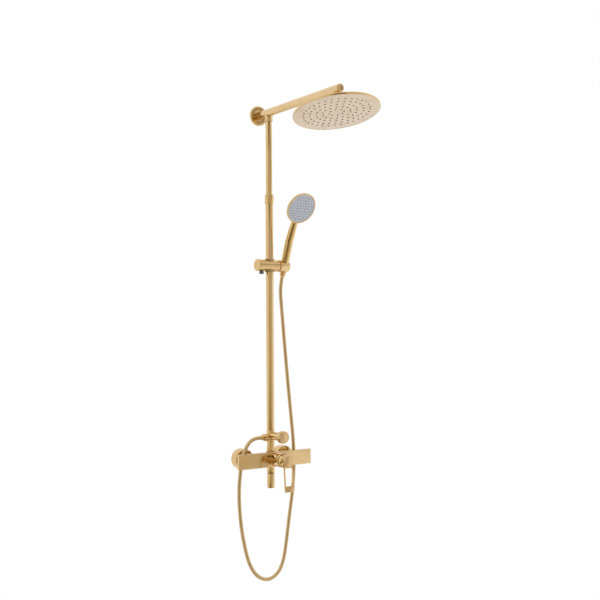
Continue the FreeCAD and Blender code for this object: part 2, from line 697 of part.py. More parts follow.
def swivel_nut():
    nut_top, nut_bottom = BALL.z + NUT_TOP, BALL.z - NUT_BOTTOM
    nut = rod(NUT_R, at_head(nut_bottom), Z, nut_top - nut_bottom)
    rims = [e for e in nut.Edges if e.BoundBox.ZLength < 0.01]
    nut = nut.makeFillet(1.0, rims)
    hollow = Part.makeSphere(BALL_R + 2 * RUN + RING_T, BALL)
    hollow = hollow.common(rod(NUT_R, BALL + V(0, 0, -SEAT_BOTTOM), Z, SEAT_BOTTOM + NUT_TOP - NUT_LIP))
    lip = Part.makeSphere(BALL_R + 2 * RUN, BALL)
    bore = rod(HUB_R + SLIP, at_head(nut_bottom), Z, NUT_BOTTOM - SEAT_TOP + SLIP)
    return tilted(minus(nut, hollow, lip, bore))


def head_shell():
    """The back shell, with the threaded hub that carries the nut."""
    rim_top = FACE_Z + HEAD_RIM_H
    hub_top = BALL.z - SEAT_BOTTOM - SLIP
    in_r = HEAD_R - HEAD_WALL
    profile = (
        (HUB_BORE_R, SHELL_TOP - HEAD_WALL), (HEAD_FLAT_R, SHELL_TOP - HEAD_WALL),
        (in_r, rim_top - HEAD_WALL), (in_r, FACE_Z), (HEAD_R, FACE_Z), (HEAD_R, rim_top - 1.0),
        (HEAD_R - 1.5, rim_top), (HEAD_FLAT_R, SHELL_TOP), (HUB_R + HUB_SLOPE, SHELL_TOP),
        (HUB_R, SHELL_TOP + HUB_STEP), (HUB_R, hub_top), (HUB_BORE_R, hub_top),
    )
    return tilted(turned(profile, at_head(0), Z))


def nozzle_places():
    return [p for radius, count in RINGS for p in on_circle(radius, count)]


def head_face():
    plate = rod(HEAD_R - HEAD_WALL - SLIP, at_head(FACE_Z), Z, HEAD_FACE_T)
    holes = [rod(NOZZLE_R + SLIP, at_head(FACE_Z) + p, Z, HEAD_FACE_T) for p in nozzle_places()]
    return tilted(minus(plate, *holes))


def nozzle_mat():
    mat = rod(MAT_R, at_head(FACE_Z + HEAD_FACE_T), Z, MAT_T)
    length = NOZZLE_OUT + HEAD_FACE_T + 0.2
    nozzles = [rod(NOZZLE_R, at_head(FACE_Z - NOZZLE_OUT) + p, Z, length) for p in nozzle_places()]
    return tilted(fused(mat, *nozzles))


def head_gasket():
    outer = HEAD_R - HEAD_WALL - SLIP
    return tilted(pipe(outer, outer - GASKET_W, at_head(FACE_Z + HEAD_FACE_T), Z, MAT_T))


def ball_seat():
    """The plastic cup under the ball, held in the nut by the hub."""
    seat = rod(HUB_R, at_head(BALL.z - SEAT_BOTTOM), Z, SEAT_BOTTOM - SEAT_TOP)
    bore = rod(HUB_BORE_R - 1, at_head(BALL.z - SEAT_BOTTOM), Z, SEAT_BOTTOM)
    return tilted(minus(seat, Part.makeSphere(BALL_R + RUN, BALL), bore))


# ------------------------------------------------------------------ slider
def slider_at(x, z=SLIDER_Z):
    return V(x, COLUMN_Y, z)


def slider_bush():
    start = SLIDER_Z - BUSH_HALF
    return pipe(BUSH_R, LOWER_TUBE_R + RUN, at_column(start), Z, 2 * BUSH_HALF)


def slider_housing():
    start = SLIDER_LEFT + END_CAP_T
    body = rod(SLIDER_R, slider_at(start), X, SLIDER_RIGHT - start)
    spigot = rod(SPACER_R, slider_at(SLIDER_RIGHT - 1), X, HOLDER_LEFT - FREE - SLIDER_RIGHT + 1)
    cuts = [
        rod(BUSH_R + RUN, slider_at(0, SLIDER_Z - 40), Z, 80),
        rod(BRAKE_R + SLIP, slider_at(start), X, -BUSH_R - start),
        rod(BOLT_R + SLIP, slider_at(BOLT_START), X, 30),
        rod(LOCK_SHANK_R + RUN, slider_at(LOCK_X, SLIDER_Z - SLIDER_R - 1), Z, SLIDER_R),
    ]
    return minus(fused(body, spigot), *cuts)


def slider_end_cap():
    profile = (
        (0, 0), (SLIDER_R - 1.2, 0), (SLIDER_R, 1.2), (SLIDER_R, END_CAP_T), (0, END_CAP_T),
    )
    return turned(profile, slider_at(SLIDER_LEFT), X)


def brake_pad():
    start = -BUSH_R - RUN - BRAKE_LENGTH
    return rod(BRAKE_R, slider_at(start), X, BRAKE_LENGTH - 0.35)


def brake_spring():
    start = SLIDER_LEFT + END_CAP_T
    end = -BUSH_R - RUN - BRAKE_LENGTH
    return pipe(SPRING_R, SPRING_R - SPRING_WALL, slider_at(start), X, end - start)


def lock_screw():
    head_top = SLIDER_Z - SLIDER_R - FREE
    head = rod(LOCK_R, slider_at(LOCK_X, head_top - LOCK_H), Z, LOCK_H)
    rims = [e for e in head.Edges if e.BoundBox.ZLength < 0.01]
    head = head.makeFillet(0.8, rims)
    tip = SLIDER_Z - BRAKE_R - 1.0
    return fused(head, rod(LOCK_SHANK_R, slider_at(LOCK_X, head_top - 2), Z, tip - head_top + 2))


def bolt_head_start():
    return HANDLE_X - SOCKET_WIDE_R - BOLT_WALL - BOLT_HEAD_T


def holder_bolt():
    head_start = bolt_head_start()
    shank = rod(BOLT_R, slider_at(BOLT_START), X, head_start - BOLT_START + 1)
    head = rod(BOLT_HEAD_R, slider_at(head_start), X, BOLT_HEAD_T)
    return minus(fused(shank, head), rod(BOLT_KEY_R, slider_at(head_start + 1.0), X, BOLT_HEAD_T))


# ------------------------------------------------------------------ hand shower
LEAN = math.radians(HANDLE_LEAN)
HANDLE_AXIS = V(0, -math.sin(LEAN), math.cos(LEAN))


def on_handle(distance):
    """A point on the handle's axis, by its distance from the holder's height."""
    return V(HANDLE_X, HANDLE_Y, SLIDER_Z) + HANDLE_AXIS * distance


def handle_radius(distance):
    """The straight handle's radius at a distance."""
    rows = HANDLE_STRAIGHT
    for (d0, r0), (d1, r1) in zip(rows, rows[1:]):
        if distance <= d1:
            return r0 + (r1 - r0) * (distance - d0) / (d1 - d0)
    return rows[-1][1]


def holder():
    body = rod(SLIDER_R, slider_at(HOLDER_LEFT), X, HOLDER_RIGHT - HOLDER_LEFT)
    rim = [e for e in body.Edges if abs(e.BoundBox.XMin - HOLDER_RIGHT) < 0.01]
    body = body.makeFillet(1.5, rim)
    middle, spread = handle_radius(0) + SOCKET_GAP, SOCKET_REACH * SOCKET_TAPER
    socket = Part.makeCone(
        middle - spread, middle + spread, 2 * SOCKET_REACH, on_handle(-SOCKET_REACH), HANDLE_AXIS
    )
    slot = Part.makeBox(30, SLOT_HOSE_W, 2 * SOCKET_REACH, V(0, -SLOT_HOSE_W / 2, -SOCKET_REACH))
    slot.Placement = FreeCAD.Placement(on_handle(0), FreeCAD.Rotation(X, HANDLE_LEAN))
    bolt_hole = rod(BOLT_R + RUN, slider_at(HOLDER_LEFT), X, 20)
    head_hole = rod(BOLT_HEAD_R + FREE, slider_at(bolt_head_start() - RUN), X, 12)
    return minus(body, socket, slot, bolt_hole, head_hole)


def head_frame(shape):
    """Moves a piece made about +Z, face down at the origin, to the hand shower's face."""
    axis = V(0, math.cos(math.radians(HAND_FACE_DOWN)), math.sin(math.radians(HAND_FACE_DOWN)))
    return placed(shape, HAND_FACE, axis)


def handset_body():
    wires = []
    stations = [(on_handle(d), HANDLE_AXIS, r) for d, r in HANDLE_STRAIGHT]
    for y, z, lean, radius in HANDLE_NECK:
        a = math.radians(lean)
        stations.append((V(HANDLE_X, y, z), V(0, -math.sin(a), math.cos(a)), radius))
    for centre, direction, radius in stations:
        wires.append(Part.Wire(Part.makeCircle(radius, centre, direction)))
    grip = Part.makeLoft(wires, True)
    disc = head_frame(turned(
        ((0, 0), (HAND_R - 1, 0), (HAND_R, 1), (HAND_R, HAND_RIM_T), (HAND_R - 2.5, HAND_RIM_T + 2),
         (HAND_R - 14, HAND_T - 2), (HAND_R - 24, HAND_T), (0, HAND_T)), V(0, 0, 0), Z))
    recess = head_frame(rod(HAND_PLATE_R + SLIP, V(0, 0, 0), Z, HAND_RECESS))
    bore = rod(HANDLE_BORE_R, on_handle(CONE_TOP - 1), HANDLE_AXIS, HANDLE_BORE)
    return minus(fused(grip, disc), recess, bore)


def hand_places():
    return [p for radius, count in HAND_RINGS for p in on_circle(radius, count)]


def handset_face():
    start = HAND_SET_BACK
    plate = rod(HAND_PLATE_R, V(0, 0, start), Z, HAND_PLATE_T)
    holes = [rod(HAND_NOZZLE_R + SLIP, V(0, 0, start) + p, Z, HAND_PLATE_T) for p in hand_places()]
    return head_frame(minus(plate, *holes))


def handset_nozzles():
    start = HAND_SET_BACK + HAND_PLATE_T
    mat = rod(HAND_MAT_R, V(0, 0, start), Z, HAND_RECESS - start)
    tip = start - HAND_PLATE_T - HAND_PIN_OUT
    pins = [rod(HAND_NOZZLE_R, V(0, 0, tip) + p, Z, start + 0.2 - tip) for p in hand_places()]
    return head_frame(fused(mat, *pins))


def handset_washer():
    return pipe(CONE_BORE_R - 0.2, HANDLE_BORE_R, on_handle(CONE_TOP - WASHER_T), HANDLE_AXIS, WASHER_T)


def hose_cone_nut():
    """The conical nut that closes the handle's lower end."""
    height = CONE_TOP - CONE_BOTTOM
    top = handle_radius(CONE_TOP) - CONE_STEP
    cone = Part.makeCone(CONE_R, top, height, on_handle(CONE_BOTTOM), HANDLE_AXIS)
    inside = rod(CONE_BORE_R, on_handle(CONE_BOTTOM + CONE_FLOOR), HANDLE_AXIS, height)
    return minus(cone, inside, rod(HOSE_BORE_R, on_handle(CONE_BOTTOM - 1), HANDLE_AXIS, height))


# ------------------------------------------------------------------ hose
def hose_points():
    start = V(HOSE_START, COLUMN_Y, OUTLET_Z)
    ends = [on_handle(CONE_BOTTOM - HOSE_LEAD), on_handle(CONE_BOTTOM)]
    return [start] + [V(*p) for p in HOSE_ROUTE] + ends


def hose_path(points):
    """Straight runs joined by tangent arcs: the wire, its length and the arcs' radii."""
    edges, radii = [], []
    last = points[0]
    for before, corner, after in zip(points, points[1:], points[2:]):
        into, out = corner - before, after - corner
        shorter = min(into.Length, out.Length)
        turn = into.getAngle(out)
        reach = ARC_SHARE * shorter
        radii.append(reach / math.tan(turn / 2))
        into.normalize()
        out.normalize()
        start, end = corner - into * reach, corner + out * reach
        inward = (out - into).normalize()
        distance = radii[-1] / math.cos(turn / 2) - radii[-1]
        middle = corner + inward * distance
        edges.append(Part.LineSegment(last, start).toShape())
        edges.append(Part.Arc(start, middle, end).toShape())
        last = end
    edges.append(Part.LineSegment(last, points[-1]).toShape())
    wire = Part.Wire(edges)
    return wire, wire.Length, radii


def shower_hose():
    points = hose_points()
    wire, length, radii = hose_path(points)
    start = points[0]
    outer = Part.Wire(Part.makeCircle(HOSE_R, start, points[1] - start))
    solid = wire.makePipeShell([outer], True, False)
    print("hose length %.1f mm, least radius %.1f mm" % (length, min(radii)))
    print("hose radii", " ".join("%.0f" % r for r in radii))
    runs = [(b - a).Length for a, b in zip(points, points[1:])]
    print("hose runs", " ".join("%.0f" % r for r in runs))
    print("hose volume share %.4f" % (solid.Volume / (math.pi * HOSE_R ** 2 * length)))
    return solid


def nodes():
    """Every node's name and shape, from the wall outwards."""
    half = INLET_PITCH / 2
    yield "s_union_left", s_union(-half)
    yield "s_union_right", s_union(half)
    yield "escutcheon_left", escutcheon(-half)
    yield "escutcheon_right", escutcheon(half)
    yield "inlet_washers", inlet_washers()
    yield "union_nut_left", union_nut(-half)
    yield "union_nut_right", union_nut(half)
    makers = (
        valve_body, plate_gasket, front_plate, cartridge_body, cartridge_seals, cartridge_nut,
        cartridge_sleeve, cartridge_turret, fulcrum_pin, handle_dome, lever_loop, lever_screw,
        spout_neck, spout_sleeve, aerator, diverter_body, diverter_spindle, diverter_knob,
        hose_washer, hose_nut, hose_ferrule_lower, lower_tube, tube_collar, collar_bush, collar_screw,
        upper_tube, arm, arm_end_cap, wall_plate, wall_screws, wall_flange, ball_nipple,
        swivel_ring, ball_seat, swivel_nut, head_shell, head_face, nozzle_mat, head_gasket,
        slider_bush, slider_housing, slider_end_cap, brake_pad, brake_spring, lock_screw, holder_bolt,
        holder, handset_body, handset_face, handset_nozzles, handset_washer, hose_cone_nut, shower_hose,
    )
    for make in makers:
        yield make.__name__, make()


def main():
    os.makedirs("parts", exist_ok=True)
    for name, shape in nodes():
        if not shape.isValid():
            print("NOT VALID:", name)
        shape.exportStep("parts/" + name + ".step")
        print("%-20s %2d solids %10.1f mm3" % (name, len(shape.Solids), shape.Volume))


main()
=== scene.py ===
"""Looks of a wall-held rainfall shower column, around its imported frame.

Every piece is modelled in metres in the frame's own axes: +Z up, -Y out into the room.
Places and sizes are read from the frame's nodes; what a node can't say, such as the
rounding of an edge or the pitch of a hose's spiral, is a named field of its class.
"""
from __future__ import annotations

import json
import logging
import math
from dataclasses import dataclass, field
from enum import Enum
from typing import Callable, Iterable, Sequence

import bpy
from mathutils import Matrix, Vector


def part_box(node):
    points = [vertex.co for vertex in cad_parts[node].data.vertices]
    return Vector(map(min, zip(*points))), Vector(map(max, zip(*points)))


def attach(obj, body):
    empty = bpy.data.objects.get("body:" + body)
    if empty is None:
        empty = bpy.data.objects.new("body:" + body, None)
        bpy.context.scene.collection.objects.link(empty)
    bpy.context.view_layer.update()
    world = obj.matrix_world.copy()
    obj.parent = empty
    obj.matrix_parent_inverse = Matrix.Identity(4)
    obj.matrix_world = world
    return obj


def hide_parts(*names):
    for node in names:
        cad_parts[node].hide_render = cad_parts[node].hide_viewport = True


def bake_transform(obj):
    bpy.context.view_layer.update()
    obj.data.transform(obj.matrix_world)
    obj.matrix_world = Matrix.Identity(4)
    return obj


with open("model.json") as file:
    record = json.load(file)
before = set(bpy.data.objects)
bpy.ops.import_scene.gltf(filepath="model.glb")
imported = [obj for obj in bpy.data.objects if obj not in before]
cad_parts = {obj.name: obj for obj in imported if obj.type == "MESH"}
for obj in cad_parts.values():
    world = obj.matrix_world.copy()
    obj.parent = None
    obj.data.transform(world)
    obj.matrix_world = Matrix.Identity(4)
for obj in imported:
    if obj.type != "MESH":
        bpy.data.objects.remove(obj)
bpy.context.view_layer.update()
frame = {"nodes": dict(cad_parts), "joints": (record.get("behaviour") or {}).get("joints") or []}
MM = 0.001
TURN = 2 * math.pi
LOG = logging.getLogger("shower_column")

Point = tuple[float, float, float]
Outline = Sequence[tuple[float, float]]
Stops = tuple[tuple[float, Point], ...]


# ---------------------------------------------------------------- shader graph
class Term:
    """A socket in a shader graph, with Python's own operators on it."""

    def __init__(self, graph: Graph, socket: bpy.types.NodeSocket) -> None:
        """Wraps one output socket of a graph."""
        self.graph = graph
        self.socket = socket

    def _math(self, operation: str, *values: Term | float) -> Term:
        """Adds one Math node and returns its output."""
        return self.graph.node("ShaderNodeMath", {"operation": operation}, list(values))

    def __add__(self, other: Term | float) -> Term:
        """Sum."""
        return self._math("ADD", self, other)

    __radd__ = __add__

    def __sub__(self, other: Term | float) -> Term:
        """Difference."""
        return self._math("SUBTRACT", self, other)

    def __rsub__(self, other: float) -> Term:
        """Reflected difference."""
        return self._math("SUBTRACT", other, self)

    def __mul__(self, other: Term | float) -> Term:
        """Product."""
        return self._math("MULTIPLY", self, other)

    __rmul__ = __mul__

    def __truediv__(self, other: Term | float) -> Term:
        """Quotient."""
        return self._math("DIVIDE", self, other)

    def __pow__(self, other: float) -> Term:
        """Power."""
        return self._math("POWER", self, other)

    def sine(self) -> Term:
        """Sine."""
        return self._math("SINE", self)

    def smooth(self, low: float, high: float) -> Term:
        """0 below low, 1 above high, and a smooth step between.

        Args:
            low: where the step starts.
            high: where it ends.

        Returns:
            The stepped value.
        """
        return self.graph.node(
            "ShaderNodeMapRange", {"interpolation_type": "SMOOTHSTEP"},
            {"Value": self, "From Min": low, "From Max": high},
        )


class Graph:
    """The node tree of one material or world."""

    def __init__(self, tree: bpy.types.NodeTree) -> None:
        """Starts from an emptied tree."""
        self.tree = tree
        tree.nodes.clear()

    def node(
        self, kind: str, settings: dict[str, object], inputs: dict[str | int, object] | list[object],
        output: str | int = 0,
    ) -> Term:
        """Adds a node.

        Args:
            kind: the node's type.
            settings: its properties, set first; "stops" fills a colour ramp.
            inputs: values or links of its sockets, by name or by index.
            output: which output to return.

        Returns:
            The chosen output socket, wrapped.
        """
        made = self.tree.nodes.new(kind)
        for name, value in settings.items():
            if name == "stops":
                self._fill(made.color_ramp, value)
            else:
                setattr(made, name, value)
        pairs = enumerate(inputs) if isinstance(inputs, list) else inputs.items()
        for key, value in pairs:
            socket = made.inputs[key]
            if isinstance(value, Term):
                self.tree.links.new(value.socket, socket)
            else:
                socket.default_value = value
        return Term(self, made.outputs[output])

    @staticmethod
    def _fill(ramp: bpy.types.ColorRamp, stops: Sequence[tuple[float, Sequence[float]]]) -> None:
        """Sets a ramp's stops to (place, colour) pairs."""
        while len(ramp.elements) < len(stops):
            ramp.elements.new(1.0)
        for element, (place, colour) in zip(ramp.elements, stops):
            element.position = place
            element.color = (*colour[:3], 1.0)

    def place(self, scale: Point = (1.0, 1.0, 1.0)) -> Term:
        """The piece's own coordinates, in metres times a scale."""
        where = self.node("ShaderNodeTexCoord", {}, {}, "Object")
        return self.node("ShaderNodeMapping", {}, {"Vector": where, "Scale": scale})

    def noise(self, where: Term, size: float, detail: float = 3.0, rough: float = 0.5) -> Term:
        """Noise of a given feature size in metres, from 0 to 1."""
        inputs = {"Vector": where, "Scale": 1.0 / size, "Detail": detail, "Roughness": rough}
        return self.node("ShaderNodeTexNoise", {}, inputs, "Fac")

    def axes(self, where: Term) -> tuple[Term, Term, Term]:
        """The three numbers of a vector."""
        made = self.node("ShaderNodeSeparateXYZ", {}, [where])
        outs = made.socket.node.outputs
        return Term(self, outs[0]), Term(self, outs[1]), Term(self, outs[2])

    def mix(self, share: Term | float, first: object, second: object) -> Term:
        """A colour between two colours."""
        settings = {"data_type": "RGBA"}
        return self.node("ShaderNodeMix", settings, {0: share, 6: first, 7: second}, 2)

    def bump(self, height: Term, distance: float, strength: float = 1.0) -> Term:
        """A normal from a height, in metres."""
        return self.node("ShaderNodeBump", {}, {"Height": height, "Distance": distance, "Strength": strength})

    def surface(self, **inputs: object) -> Term:
        """A Principled shader with sockets named with underscores for spaces."""
        named = {key.replace("_", " "): value for key, value in inputs.items()}
        return self.node("ShaderNodeBsdfPrincipled", {}, named)

    def finish(self, shader: Term, kind: str = "ShaderNodeOutputMaterial") -> None:
        """Links a shader to the tree's output."""
        out = self.tree.nodes.new(kind)
        self.tree.links.new(shader.socket, out.inputs[0])


def rgb(red: float, green: float, blue: float) -> tuple[float, float, float, float]:
    """An opaque linear colour."""
    return (red, green, blue, 1.0)


# ---------------------------------------------------------------- finishes
@dataclass(frozen=True)
class Finish:
    """What every finish has: a name, and a material made once."""

    name: str

    def build(self, graph: Graph) -> Term:
        """Returns the finish's shader; each kind of finish has its own."""
        raise NotImplementedError

    def material(self) -> bpy.types.Material:
        """The finish's material, made on first use."""
        found = bpy.data.materials.get(self.name)
        if found is None:
            found = bpy.data.materials.new(self.name)
            found.use_nodes = True
            graph = Graph(found.node_tree)
            graph.finish(self.build(graph))
        return found


@dataclass(frozen=True)
class Plating(Finish):
    """Polished gold-coloured plating: nearly a mirror, with faint haze and dried water marks."""

    colour: Point = (0.79, 0.57, 0.29)
    deep: Point = (0.70, 0.48, 0.22)
    polish: float = 0.09
    haze: float = 0.06
    grain: Point = (1.0, 1.0, 1.0)

    def build(self, graph: Graph) -> Term:
        """Colour drifts softly; marks and grain change the gloss only."""
        where = graph.place()
        drift = graph.noise(where, 0.045, 2.0)
        cloud = graph.noise(where, 0.016, 4.0, 0.6)
        lines = graph.noise(graph.place(self.grain), 0.0011, 3.0, 0.65)
        cells = graph.node("ShaderNodeTexVoronoi", {"feature": "F1"}, {"Vector": where, "Scale": 95.0}, "Distance")
        marks = (1.0 - cells.smooth(0.10, 0.30)) * cloud.smooth(0.56, 0.70)
        colour = graph.mix(drift.smooth(0.30, 0.75) * 0.55, rgb(*self.colour), rgb(*self.deep))
        rough = self.polish + cloud.smooth(0.35, 0.75) * self.haze + lines * 0.03 + marks * 0.05
        normal = graph.bump(lines + cloud * 0.6, 0.000012, 0.12)
        return graph.surface(Base_Color=colour, Metallic=1.0, Roughness=rough, Normal=normal)


@dataclass(frozen=True)
class FacePlate(Finish):
    """Pale champagne disc, turned on a lathe and polished: fine rings about its own centre."""

    centre: Point = (0.0, 0.0, 0.0)
    tilt: float = 0.0
    colour: Point = (0.78, 0.66, 0.52)
    deep: Point = (0.66, 0.54, 0.41)
    polish: float = 0.22
    pitch: float = 0.0011

    def build(self, graph: Graph) -> Term:
        """Rings come from the distance to the disc's axis."""
        where = graph.node("ShaderNodeTexCoord", {}, {}, "Object")
        back = tuple(-c for c in self.centre)
        moved = graph.node("ShaderNodeMapping", {}, {"Vector": where, "Location": back})
        level = graph.node("ShaderNodeMapping", {}, {"Vector": moved, "Rotation": (self.tilt, 0.0, 0.0)})
        x, y, _ = graph.axes(level)
        radius = (x * x + y * y) ** 0.5
        rings = (radius * (TURN / self.pitch)).sine()
        cloud = graph.noise(where, 0.03, 4.0, 0.6)
        fine = graph.noise(where, 0.0016, 2.0)
        colour = graph.mix(cloud.smooth(0.30, 0.75) * 0.6, rgb(*self.colour), rgb(*self.deep))
        rough = self.polish + cloud * 0.10 + fine * 0.05 + rings * 0.015
        normal = graph.bump(rings + fine * 0.5, 0.000006, 0.6)
        return graph.surface(Base_Color=colour, Metallic=0.85, Roughness=rough, Normal=normal)


@dataclass(frozen=True)
class Moulding(Finish):
    """Moulded plastic or rubber, with a fine moulded grain and slight colour change."""

    colour: Point = (0.5, 0.5, 0.5)
    deep: Point = (0.4, 0.4, 0.4)
    gloss: float = 0.4
    grain: float = 0.0006
    relief: float = 0.00002
    coat: float = 0.0

    def build(self, graph: Graph) -> Term:
        """Grain feeds the bump and the gloss; clouds feed the colour."""
        where = graph.place()
        cloud = graph.noise(where, 0.012, 4.0, 0.6)
        grain = graph.noise(where, self.grain, 2.0)
        colour = graph.mix(cloud.smooth(0.25, 0.8), rgb(*self.colour), rgb(*self.deep))
        rough = self.gloss + cloud * 0.12 + grain * 0.06
        normal = graph.bump(grain, self.relief)
        return graph.surface(
            Base_Color=colour, Roughness=rough, Normal=normal, Coat_Weight=self.coat, Coat_Roughness=0.08,
        )


@dataclass(frozen=True)
class Machined(Finish):
    """Bare metal as it leaves the lathe: rings across the piece and dull patches."""

    colour: Point = (0.62, 0.45, 0.22)
    deep: Point = (0.40, 0.27, 0.12)
    rough: float = 0.30
    grain: Point = (1.0, 8.0, 1.0)

    def build(self, graph: Graph) -> Term:
        """Stretched noise makes the tool marks."""
        where = graph.place()
        marks = graph.noise(graph.place(self.grain), 0.0016, 3.0, 0.6)
        cloud = graph.noise(where, 0.02, 5.0, 0.6)
        colour = graph.mix(cloud.smooth(0.35, 0.75), rgb(*self.colour), rgb(*self.deep))
        rough = self.rough + cloud * 0.2 + marks * 0.1
        normal = graph.bump(marks, 0.00003)
        return graph.surface(Base_Color=colour, Metallic=1.0, Roughness=rough, Normal=normal)


@dataclass(frozen=True)
class HoseMetal(Finish):
    """The hose's spiral strip: bright on its crowns, with painted shade darkening its colour in the grooves between
    them, where it is also dull.
    """

    colour: Point = (0.80, 0.60, 0.34)
    # painted shade: the darker colour painted into the grooves between crowns
    seam_shade: Point = (0.42, 0.30, 0.16)

    def build(self, graph: Graph) -> Term:
        """The piece's own crown attribute, 1 on a crown and 0 between crowns, steers all; the darker colour between
        crowns is painted shade.
        """
        crown = graph.node("ShaderNodeAttribute", {"attribute_name": "crown"}, {}, "Fac")
        where = graph.place()
        cloud = graph.noise(where, 0.02, 3.0)
        fine = graph.noise(where, 0.0008, 2.0)
        tint = graph.mix(cloud.smooth(0.3, 0.8) * 0.4, rgb(*self.colour), rgb(0.62, 0.42, 0.19))
        # painted shade: between crowns the colour falls to the painted groove shade
        colour = graph.mix(crown.smooth(0.05, 0.35), rgb(*self.seam_shade), tint)
        rough = 0.35 - crown * 0.17 + fine * 0.06 + cloud * 0.04
        return graph.surface(Base_Color=colour, Metallic=1.0, Roughness=rough, Normal=graph.bump(fine, 0.00001))


GOLD = Plating("gold plating")
TUBE_GOLD = Plating("gold tube plating", (0.80, 0.59, 0.32), (0.72, 0.51, 0.25), 0.12, 0.05, (1.0, 1.0, 0.03))
ARM_GOLD = Plating("gold arm plating", (0.81, 0.60, 0.34), (0.73, 0.53, 0.27), 0.13, 0.05, (1.0, 0.03, 1.0))
GRIP_GOLD = Plating("gold grip plating", (0.78, 0.57, 0.28), (0.68, 0.47, 0.20), 0.07, 0.04)
BRASS = Machined("bare brass")
STEEL = Machined("stainless steel", (0.60, 0.60, 0.60), (0.42, 0.42, 0.43), 0.25)
SPRAY_PLATE = Moulding("spray plate", (0.35, 0.39, 0.46), (0.30, 0.34, 0.41), 0.14, 0.0009, 0.000008, 0.6)
SILICONE = Moulding("silicone nozzles", (0.075, 0.062, 0.050), (0.045, 0.038, 0.032), 0.5)
SEAL = Moulding("black seal", (0.02, 0.02, 0.02), (0.012, 0.012, 0.012), 0.55)
DARK = Moulding("dark moulding", (0.13, 0.125, 0.11), (0.09, 0.085, 0.075), 0.42)
TAN = Moulding("tan moulding", (0.30, 0.20, 0.10), (0.22, 0.15, 0.07), 0.38)
ACETAL = Moulding("white moulding", (0.78, 0.77, 0.73), (0.68, 0.67, 0.63), 0.35)
HOSE = HoseMetal("hose spiral")


# ---------------------------------------------------------------- bench
class Along(Enum):
    """The ways a turned piece can stand."""

    UP = (0.0, 0.0, 1.0)
    RIGHT = (1.0, 0.0, 0.0)
    LEFT = (-1.0, 0.0, 0.0)
    OUT = (0.0, -1.0, 0.0)
    BACK = (0.0, 1.0, 0.0)


@dataclass(frozen=True)
class Reach:
    """A node's box at rest, in millimetres."""

    low: Vector
    high: Vector

    @classmethod
    def of(cls, node: str) -> Reach:
        """Reads a node's box from the frame."""
        low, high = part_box(node)
        return cls(low / MM, high / MM)

    @property
    def mid(self) -> Vector:
        """The box's centre."""
        return (self.low + self.high) / 2

    @property
    def size(self) -> Vector:
        """The box's three lengths."""
        return self.high - self.low


def joint(name: str) -> dict:
    """A joint of the frame, by name."""
    return next(j for j in frame["joints"] if j["name"] == name)


def pick(obj: bpy.types.Object) -> bpy.types.Object:
    """Selects one object alone and makes it active."""
    bpy.ops.object.select_all(action="DESELECT")
    obj.select_set(True)
    bpy.context.view_layer.objects.active = obj
    return obj


def edit(select: bool = True) -> None:
    """Enters edit mode with all or nothing selected."""
    bpy.ops.object.mode_set(mode="EDIT")
    bpy.ops.mesh.select_mode(type="VERT")
    bpy.ops.mesh.select_all(action="SELECT" if select else "DESELECT")


def leave() -> None:
    """Leaves edit mode."""
    bpy.ops.object.mode_set(mode="OBJECT")


def choose(obj: bpy.types.Object, kind: str, test: Callable[[object], bool]) -> None:
    """Selects the faces or edges of a mesh that pass a test, and enters edit mode.

    Args:
        obj: the piece, in object mode.
        kind: "polygons" or "edges".
        test: says whether an item is selected.
    """
    edit(False)
    bpy.ops.mesh.select_mode(type="FACE" if kind == "polygons" else "EDGE")
    leave()
    for item in getattr(obj.data, kind):
        item.select = test(item)
    bpy.ops.object.mode_set(mode="EDIT")


def modify(obj: bpy.types.Object, kind: str, **settings: object) -> bpy.types.Object:
    """Adds a modifier with its settings and applies it."""
    pick(obj)
    bpy.ops.object.modifier_add(type=kind)
    made = obj.modifiers[-1]
    for name, value in settings.items():
        setattr(made, name, value)
    bpy.ops.object.modifier_apply(modifier=made.name)
    return obj


def eased(obj: bpy.types.Object, width: float, segments: int = 3, angle: float = 32.0) -> bpy.types.Object:
    """Rounds a piece's sharp edges.

    Args:
        obj: the piece.
        width: the rounding's width in millimetres; nothing is done at 0.
        segments: how many facets make the rounding.
        angle: the least angle, in degrees, of an edge that is rounded.

    Returns:
        The same piece, smooth shaded.
    """
    if width > 0:
        modify(
            obj, "BEVEL", width=width * MM, segments=segments, limit_method="ANGLE",
            angle_limit=math.radians(angle), miter_outer="MITER_ARC",
        )
    pick(obj)
    bpy.ops.object.shade_smooth_by_angle(angle=math.radians(40))
    return obj


def settle(obj: bpy.types.Object, at: Sequence[float], along: Sequence[float]) -> bpy.types.Object:
    """Stands a piece made along +Z at a place in millimetres, and leaves the object at the origin."""
    turn = Vector((0, 0, 1)).rotation_difference(Vector(along)).to_matrix().to_4x4()
    obj.matrix_world = Matrix.Translation(Vector(at) * MM) @ turn
    pick(obj)
    bpy.ops.object.transform_apply(location=True, rotation=True, scale=True)
    return obj


